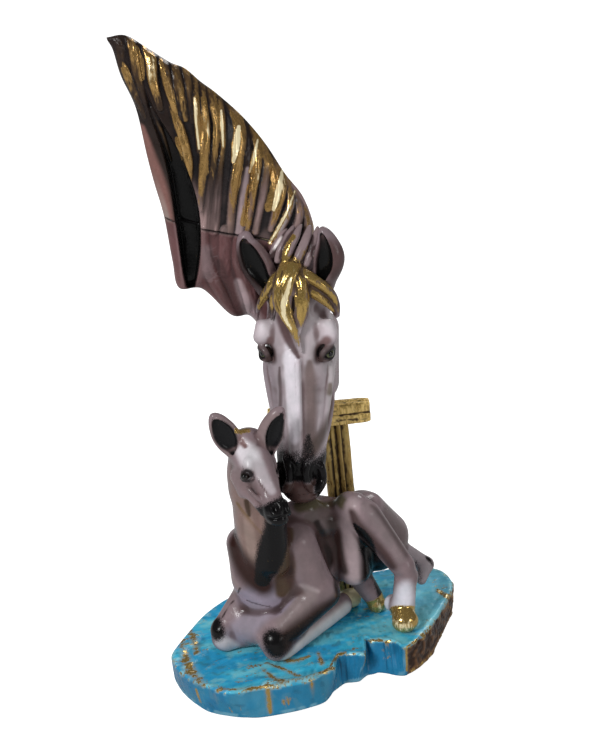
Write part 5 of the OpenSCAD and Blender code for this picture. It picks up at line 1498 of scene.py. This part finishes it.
# Blue in brushed patches; the darker wall and hollows are partly painted shade, and the pale edges on what
# stands out are painted highlights
paint = lay(
    ground_coat((.024, .250, .420), base_points),
    ((.008, .165, .360), ease(brush / 0.5) * 0.8),
    ((.085, .315, .420), ease(-brush / 0.5 - 0.2) * 0.8),
    ((.13, .32, .38), ease(dabs / 0.3 - 1.6) * 0.5),
    ((.020, .10, .15), ease(-dabs / 0.3 - 1.9) * 0.55),
    ((.10, .30, .40), ease((x - 30) / 30) * ease((y + 30) / 40) * 0.6),
    ((.022, .165, .300), on_wall * 0.55),
    ((.012, .175, .345), on_falls * on_wall * 0.8),
    ((.22, .46, .54), ease(proud / 0.5 - 0.6) * ease(streak / 0.5 + 0.4) * 0.5),
    ((.004, .07, .15), ease(-proud / 0.6 - 0.2) * 0.7))
# The top is paler than the wall, partly as painted light on the face turned up
paint = np.minimum(paint * (1 + (1 - on_wall)[:, None] * (0.75, 0.62, 0.42)), 0.85)
paint = lay(
    paint,
    ((.030, .015, .009), on_bark),
    ((.13, .065, .030), on_bark * ease(proud / 0.5 + 0.05)))
gold = 0.50 * ease(streak / 0.8 - 0.40) * (1 - on_bark)
# Gold along the top's edge, on the bark's ridges and on the banks of the top
rim_band = np.exp(-((z - BASE_TOP + 0.8) / 1.2) ** 2) * ease((z - UNDERSIDE) / 4) * ease(
    (ring_of - wall_rows * 0.8) / 3) * ease((wall_rows + 3 - ring_of) / 2)
gold = np.maximum(gold, rim_band * (0.36 + 0.35 * streak))
gold = np.maximum(gold, 0.42 * on_bark * ease(proud / 0.5 - 0.4))
on_top = slice(around * (1 + wall_rows), None)
on_banks = ease(banks[:last_ring] / 0.9 - 0.35) * ease(streak[on_top] + 0.6)
gold[on_top] = np.maximum(gold[on_top], 0.5 * on_banks)
for rows in gold_strokes:
    # Where a stroke's mark passes about one, the gold turns to a pale painted highlight
    gold = np.maximum(gold, stroke(base_points, rows, 1.3) * (0.84 + 0.50 * streak))
    paint = lay(paint, ((.30, .24, .13), 0.65 * stroke(base_points, rows, 2.4)))
resin_base = painted_resin("base_paint", gloss=0.30, bump_mm=0.14)
make_piece("base_cast", base_points, base_faces, resin_base, "base", ("base",), caps=base_caps,
           paint=paint, spray=np.zeros(len(x)), gold=gold)

# %% [markdown]
# ## The fence
# A rough rail is lapped on a split post behind the mare. Both are carried sections: a rounded oblong is
# swept along the timber and its surface is pushed in and out by grain that is drawn out along it.

# %% Timber
SQUARENESS = 7
DRAWN_OUT = 0.14


def timber(low, high, axis, rows, columns, grain, gouges, seed, ragged):
    """A box-like solid swept along one axis. Its section is a superellipse of power 7, pushed by grain
    noise that is seven times longer along the timber, and by gouges at angles round the section."""
    middle = (low + high) / 2
    half = (high - low) / 2
    across = [i for i in range(3) if i != axis]
    u = np.linspace(-1, 1, rows)
    taper = 1 - 0.16 * np.abs(u) ** 8
    angle = np.linspace(0, 2 * np.pi, columns, endpoint=False)
    c = np.cos(angle)
    s = np.sin(angle)
    reach = 1 / (np.abs(c) ** SQUARENESS + np.abs(s) ** SQUARENESS) ** (1 / SQUARENESS)
    points = np.zeros((rows, columns, 3))
    points[..., axis] = (middle[axis] + half[axis] * u)[:, None]
    points[..., across[0]] = middle[across[0]] + half[across[0]] * taper[:, None] * (reach * c)
    points[..., across[1]] = middle[across[1]] + half[across[1]] * taper[:, None] * (reach * s)
    flat = points.reshape(-1, 3)
    drawn = flat.copy()
    drawn[:, axis] *= DRAWN_OUT
    push = grain * (cloud(drawn, 1.7, seed) + 0.6 * cloud(drawn, 0.9, seed + 0.3))
    push += 0.5 * grain * cloud(flat, 3.0, seed + 0.6)
    for place, width, depth in gouges:
        gap = np.abs((np.tile(angle, rows) - np.radians(place) + np.pi) % (2 * np.pi) - np.pi)
        push -= depth * ease((np.radians(width) - gap) / np.radians(width))
    out = np.zeros_like(flat)
    out[:, across[0]] = np.tile(c, rows)
    out[:, across[1]] = np.tile(s, rows)
    flat = flat + out * np.minimum(push, 0.25)[:, None]
    end = np.repeat(np.abs(u) ** 30, columns)
    across_only = np.stack([flat[:, across[0]], flat[:, across[1]], np.zeros(len(flat))], 1)
    worn = 0.5 + 0.5 * cloud(across_only, 3.0, seed + 0.9)
    flat[:, axis] -= np.repeat(np.sign(u), columns) * end * ragged * worn
    faces = ring_faces(rows, columns)
    caps = [np.arange(columns)[::-1], np.arange(columns) + (rows - 1) * columns]
    if axis == 1:
        faces = faces[:, ::-1]
        caps = [cap[::-1] for cap in caps]
    return flat, faces, caps


resin_fence = painted_resin("fence_paint", gloss=0.34, bump_mm=0.2)


def gild(points, faces, seed, painted_light):
    """Dark wood paint in the grooves, olive gold over what stands out."""
    proud = proudness(points, faces, 12)
    mottled = 1.3 * cloud(points, 2.6, seed) + 0.8 * cloud(points, 1.1, seed + 0.5)
    # More painted light gives a lighter tone and more gold on the timber
    tone = (1 + 1.8 * (painted_light - 0.45)) * np.array((0.50, 0.37, 0.135))
    paint = lay(ground_coat((.060, .038, .018), points),
                (tone, ease(proud / 0.30 + painted_light + 0.55 * mottled)))
    gold = 0.45 * ease(proud / 0.30 + painted_light - 0.15 + 0.3 * mottled)
    return {"paint": paint, "gold": gold, "spray": 0.3 * ease(-proud / 0.4 - 0.2)}


def add_timber(name, node, longer, seeds, painted_light, **form):
    """A timber in the box of its CAD node, longer at its low end by a few millimetres."""
    low, high = [np.array(corner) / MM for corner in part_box(node)]
    points, faces, caps = timber(low - longer, high, columns=120, seed=seeds[0], **form)
    make_piece(name, points, faces, resin_fence, "fence", (node,), caps=caps,
               **gild(points, faces, seeds[1], painted_light))


# The rail takes more painted light than the post, for the light that falls on it
add_timber("rail_timber", "fence_rail", (1.5, 0, 0), (1.0, 2.0), 0.85, axis=0, rows=150,
           grain=0.30, ragged=1.8, gouges=[(265, 9, 0.9), (290, 7, 0.6), (95, 10, 0.8), (180, 12, 0.8),
                                           (20, 12, 0.8)])
add_timber("post_timber", "fence_post", (0, 0, 0), (4.0, 3.0), 0.45, axis=2, rows=220,
           grain=0.32, ragged=0.6, gouges=[(270, 16, 2.2), (296, 7, 1.1), (246, 6, 1.0), (90, 14, 1.6),
                                           (180, 16, 1.2), (0, 14, 1.2)])

# %% [markdown]
# ## Eyes, pad and pins
# An eye is a glossy bead with a bulged cornea. Its surface is a sphere worked out from two angles round
# the line of sight, and the angle from that line is kept as a mark, which paints pupil and iris.

# %% Eyes
def eye_paint(name, iris, pupil_deg, iris_deg):
    """Rings of paint by the angle from the line of sight: pupil, iris and a dark ring, whose edges are
    six degrees wide and uneven."""
    material, t = new_material(name)
    angle = t.math(t.mark("angle"), t.math(t.noise(0.7), 6.0, "MULTIPLY"))
    colour = t.blend(t.band(angle, pupil_deg, pupil_deg + 6), (0.004, 0.004, 0.004), iris)
    colour = t.blend(t.band(angle, iris_deg, iris_deg + 6), colour, (0.020, 0.012, 0.009))
    t.finish(colour, 0.06, Coat_Weight=0.5, Coat_Roughness=0.03, Specular_IOR_Level=0.25)
    return material


def make_eyes(name, head, share, size, gaze, material, node, sink=1.0):
    """Both beads of a pair in one mesh, each a sphere that bulges by a twelfth round the line of sight. The
    bead on the head's left is set deeper by the share sink."""
    rows, columns = ((48, 64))
    tilt = np.linspace(0, np.pi, rows + 1)[1:-1]
    spin = np.linspace(0, 2 * np.pi, columns, endpoint=False)
    points, faces, caps, angles = [], [], [], []
    for sign in (1, -1):
        middle = from_head(head, np.array(share) * (1 if sign > 0 else -sink, 1, 1))[0]
        sight = from_head(head, np.array(gaze) * (sign, 1, 1))[0] - head["poll"]
        sight = sight / np.linalg.norm(sight)
        one = np.cross(sight, head["down"])
        one = one / np.linalg.norm(one)
        two = np.cross(sight, one)
        radius = size / 2 * (1 + 0.08 * np.exp(-(tilt / 0.6) ** 2))
        ring = (radius * np.sin(tilt))[:, None, None] * (
            np.cos(spin)[None, :, None] * one + np.sin(spin)[None, :, None] * two)
        shell = (middle + ring + (radius * np.cos(tilt))[:, None, None] * sight).reshape(-1, 3)
        first = sum(len(p) for p in points)
        points.append(shell)
        faces.append(ring_faces(len(tilt), columns, first)[:, ::-1])
        caps += [np.arange(columns) + first,
                 np.arange(columns)[::-1] + first + (len(tilt) - 1) * columns]
        angles.append(np.repeat(np.degrees(tilt), columns))
    make_piece(name, np.vstack(points), np.vstack(faces), material, "eyes", (node,), caps=caps,
               angle=np.concatenate(angles))


make_eyes("mare_eye_beads", mare, mare_eye, 6.6, (.62, .78, .05),
          eye_paint("mare_eye", (0.070, 0.080, 0.030), 24, 41), "mare_eyes", 0.94)
make_eyes("foal_eye_beads", foal_head, foal_eye, 4.6, (.80, .60, .10),
          eye_paint("foal_eye", (0.012, 0.009, 0.008), 26, 45), "foal_eyes")


# %% Pad and pins
def foam():
    """Black foam sheet: fine cells in colour and bump."""
    material, t = new_material("foam_sheet")
    cells = t.noise(0.8, 2.0)
    t.finish(t.blend(cells, (0.018, 0.018, 0.020), (0.045, 0.045, 0.048)), 0.85, cells, 0.25)
    return material


def drawn_steel():
    """Drawn wire: scratches along it in roughness and colour."""
    material, t = new_material("drawn_steel")
    scratches = t.noise(0.5, 2.0, stretch=(1.0, 1.0, 0.1))
    t.finish(t.blend(scratches, (0.45, 0.45, 0.47), (0.62, 0.62, 0.64)),
             t.band(scratches, 0.2, 0.8, 0.22, 0.38), Metallic=1.0)
    return material


def dress(node, material):
    """Gives a CAD node that stays in view its material."""
    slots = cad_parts[node].data.materials
    slots.clear()
    slots.append(material)


dress("base_pad", foam())
steel = drawn_steel()
for node in ("foal_pins", "neck_pins", "post_pin", "rail_pins", "muzzle_pin"):
    dress(node, steel)
print("eyes, pad and pins dressed")

# %% [markdown]
# ## Floor, light and world
# A product photograph of glossy paint wants large soft lamps, whose reflections shape the forms, and a
# white surround. The floor glows for the camera alone, which turns it white and keeps a soft shadow.

# %% Floor
def white_to_camera(name, colour):
    """A pale diffuse material that the camera sees as white, with the shadow kept."""
    material, t = new_material(name)
    place = t.add("ShaderNodeTexCoord").outputs["Object"]
    speckle = t.add("ShaderNodeTexNoise", {"Vector": place, "Scale": 900.0}).outputs[0]
    ray = t.add("ShaderNodeLightPath").outputs["Is Camera Ray"]
    glow = t.add("ShaderNodeMapRange", {"Value": ray, "To Max": 0.92}).outputs[0]
    t.finish(t.blend(speckle, colour, tuple(0.985 * c for c in colour)), 0.9, Specular_IOR_Level=0.1,
             Emission_Color=(1.0, 1.0, 1.0, 1.0), Emission_Strength=glow)
    return material


FLOOR_HALF = 4.0
floor_mesh = bpy.data.meshes.new("floor")
corners = [(-1, -1), (1, -1), (1, 1), (-1, 1)]
floor_mesh.from_pydata([(FLOOR_HALF * x, FLOOR_HALF * y, 0.0) for x, y in corners], [], [(0, 1, 2, 3)])
floor_mesh.materials.append(white_to_camera("pale_floor", (0.60, 0.60, 0.60)))
floor = bpy.data.objects.new("floor", floor_mesh)
bpy.context.scene.collection.objects.link(floor)
print("floor", 2 * FLOOR_HALF, "m wide")


# %% Lamps and world
MIDDLE = Vector((0.0, 0.0, 0.17))


def lamp(name, place, size, watts):
    """A square area lamp in metres that faces the middle of the object."""
    light = bpy.data.lights.new(name, "AREA")
    light.size = size
    light.energy = watts
    made = bpy.data.objects.new(name, light)
    made.location = place
    made.rotation_euler = (MIDDLE - Vector(place)).to_track_quat("-Z", "Y").to_euler()
    bpy.context.scene.collection.objects.link(made)


lamp("key", (-0.75, -0.95, 1.0), 0.34, 12.0)
lamp("fill", (1.1, -0.9, 0.5), 0.4, 2.5)
lamp("rim", (0.5, 0.9, 0.9), 0.4, 4.0)

world = bpy.data.worlds.new("surround")
bpy.context.scene.world = world
world.use_nodes = True
tree = world.node_tree
backdrop = tree.nodes["Background"]
backdrop.inputs["Color"].default_value = (1.0, 1.0, 1.0, 1.0)
path = tree.nodes.new("ShaderNodeLightPath")
# Brightness of the world for diffuse light, for reflections and for the camera
level = 0.42
for ray, brightness in (("Is Glossy Ray", 0.08), ("Is Camera Ray", 1.0)):
    pick_ray = tree.nodes.new("ShaderNodeMix")
    tree.links.new(path.outputs[ray], pick_ray.inputs[0])
    if isinstance(level, float):
        pick_ray.inputs[2].default_value = level
    else:
        tree.links.new(level, pick_ray.inputs[2])
    pick_ray.inputs[3].default_value = brightness
    level = pick_ray.outputs[0]
tree.links.new(level, backdrop.inputs["Strength"])
bpy.context.scene.view_settings.view_transform = "Standard"
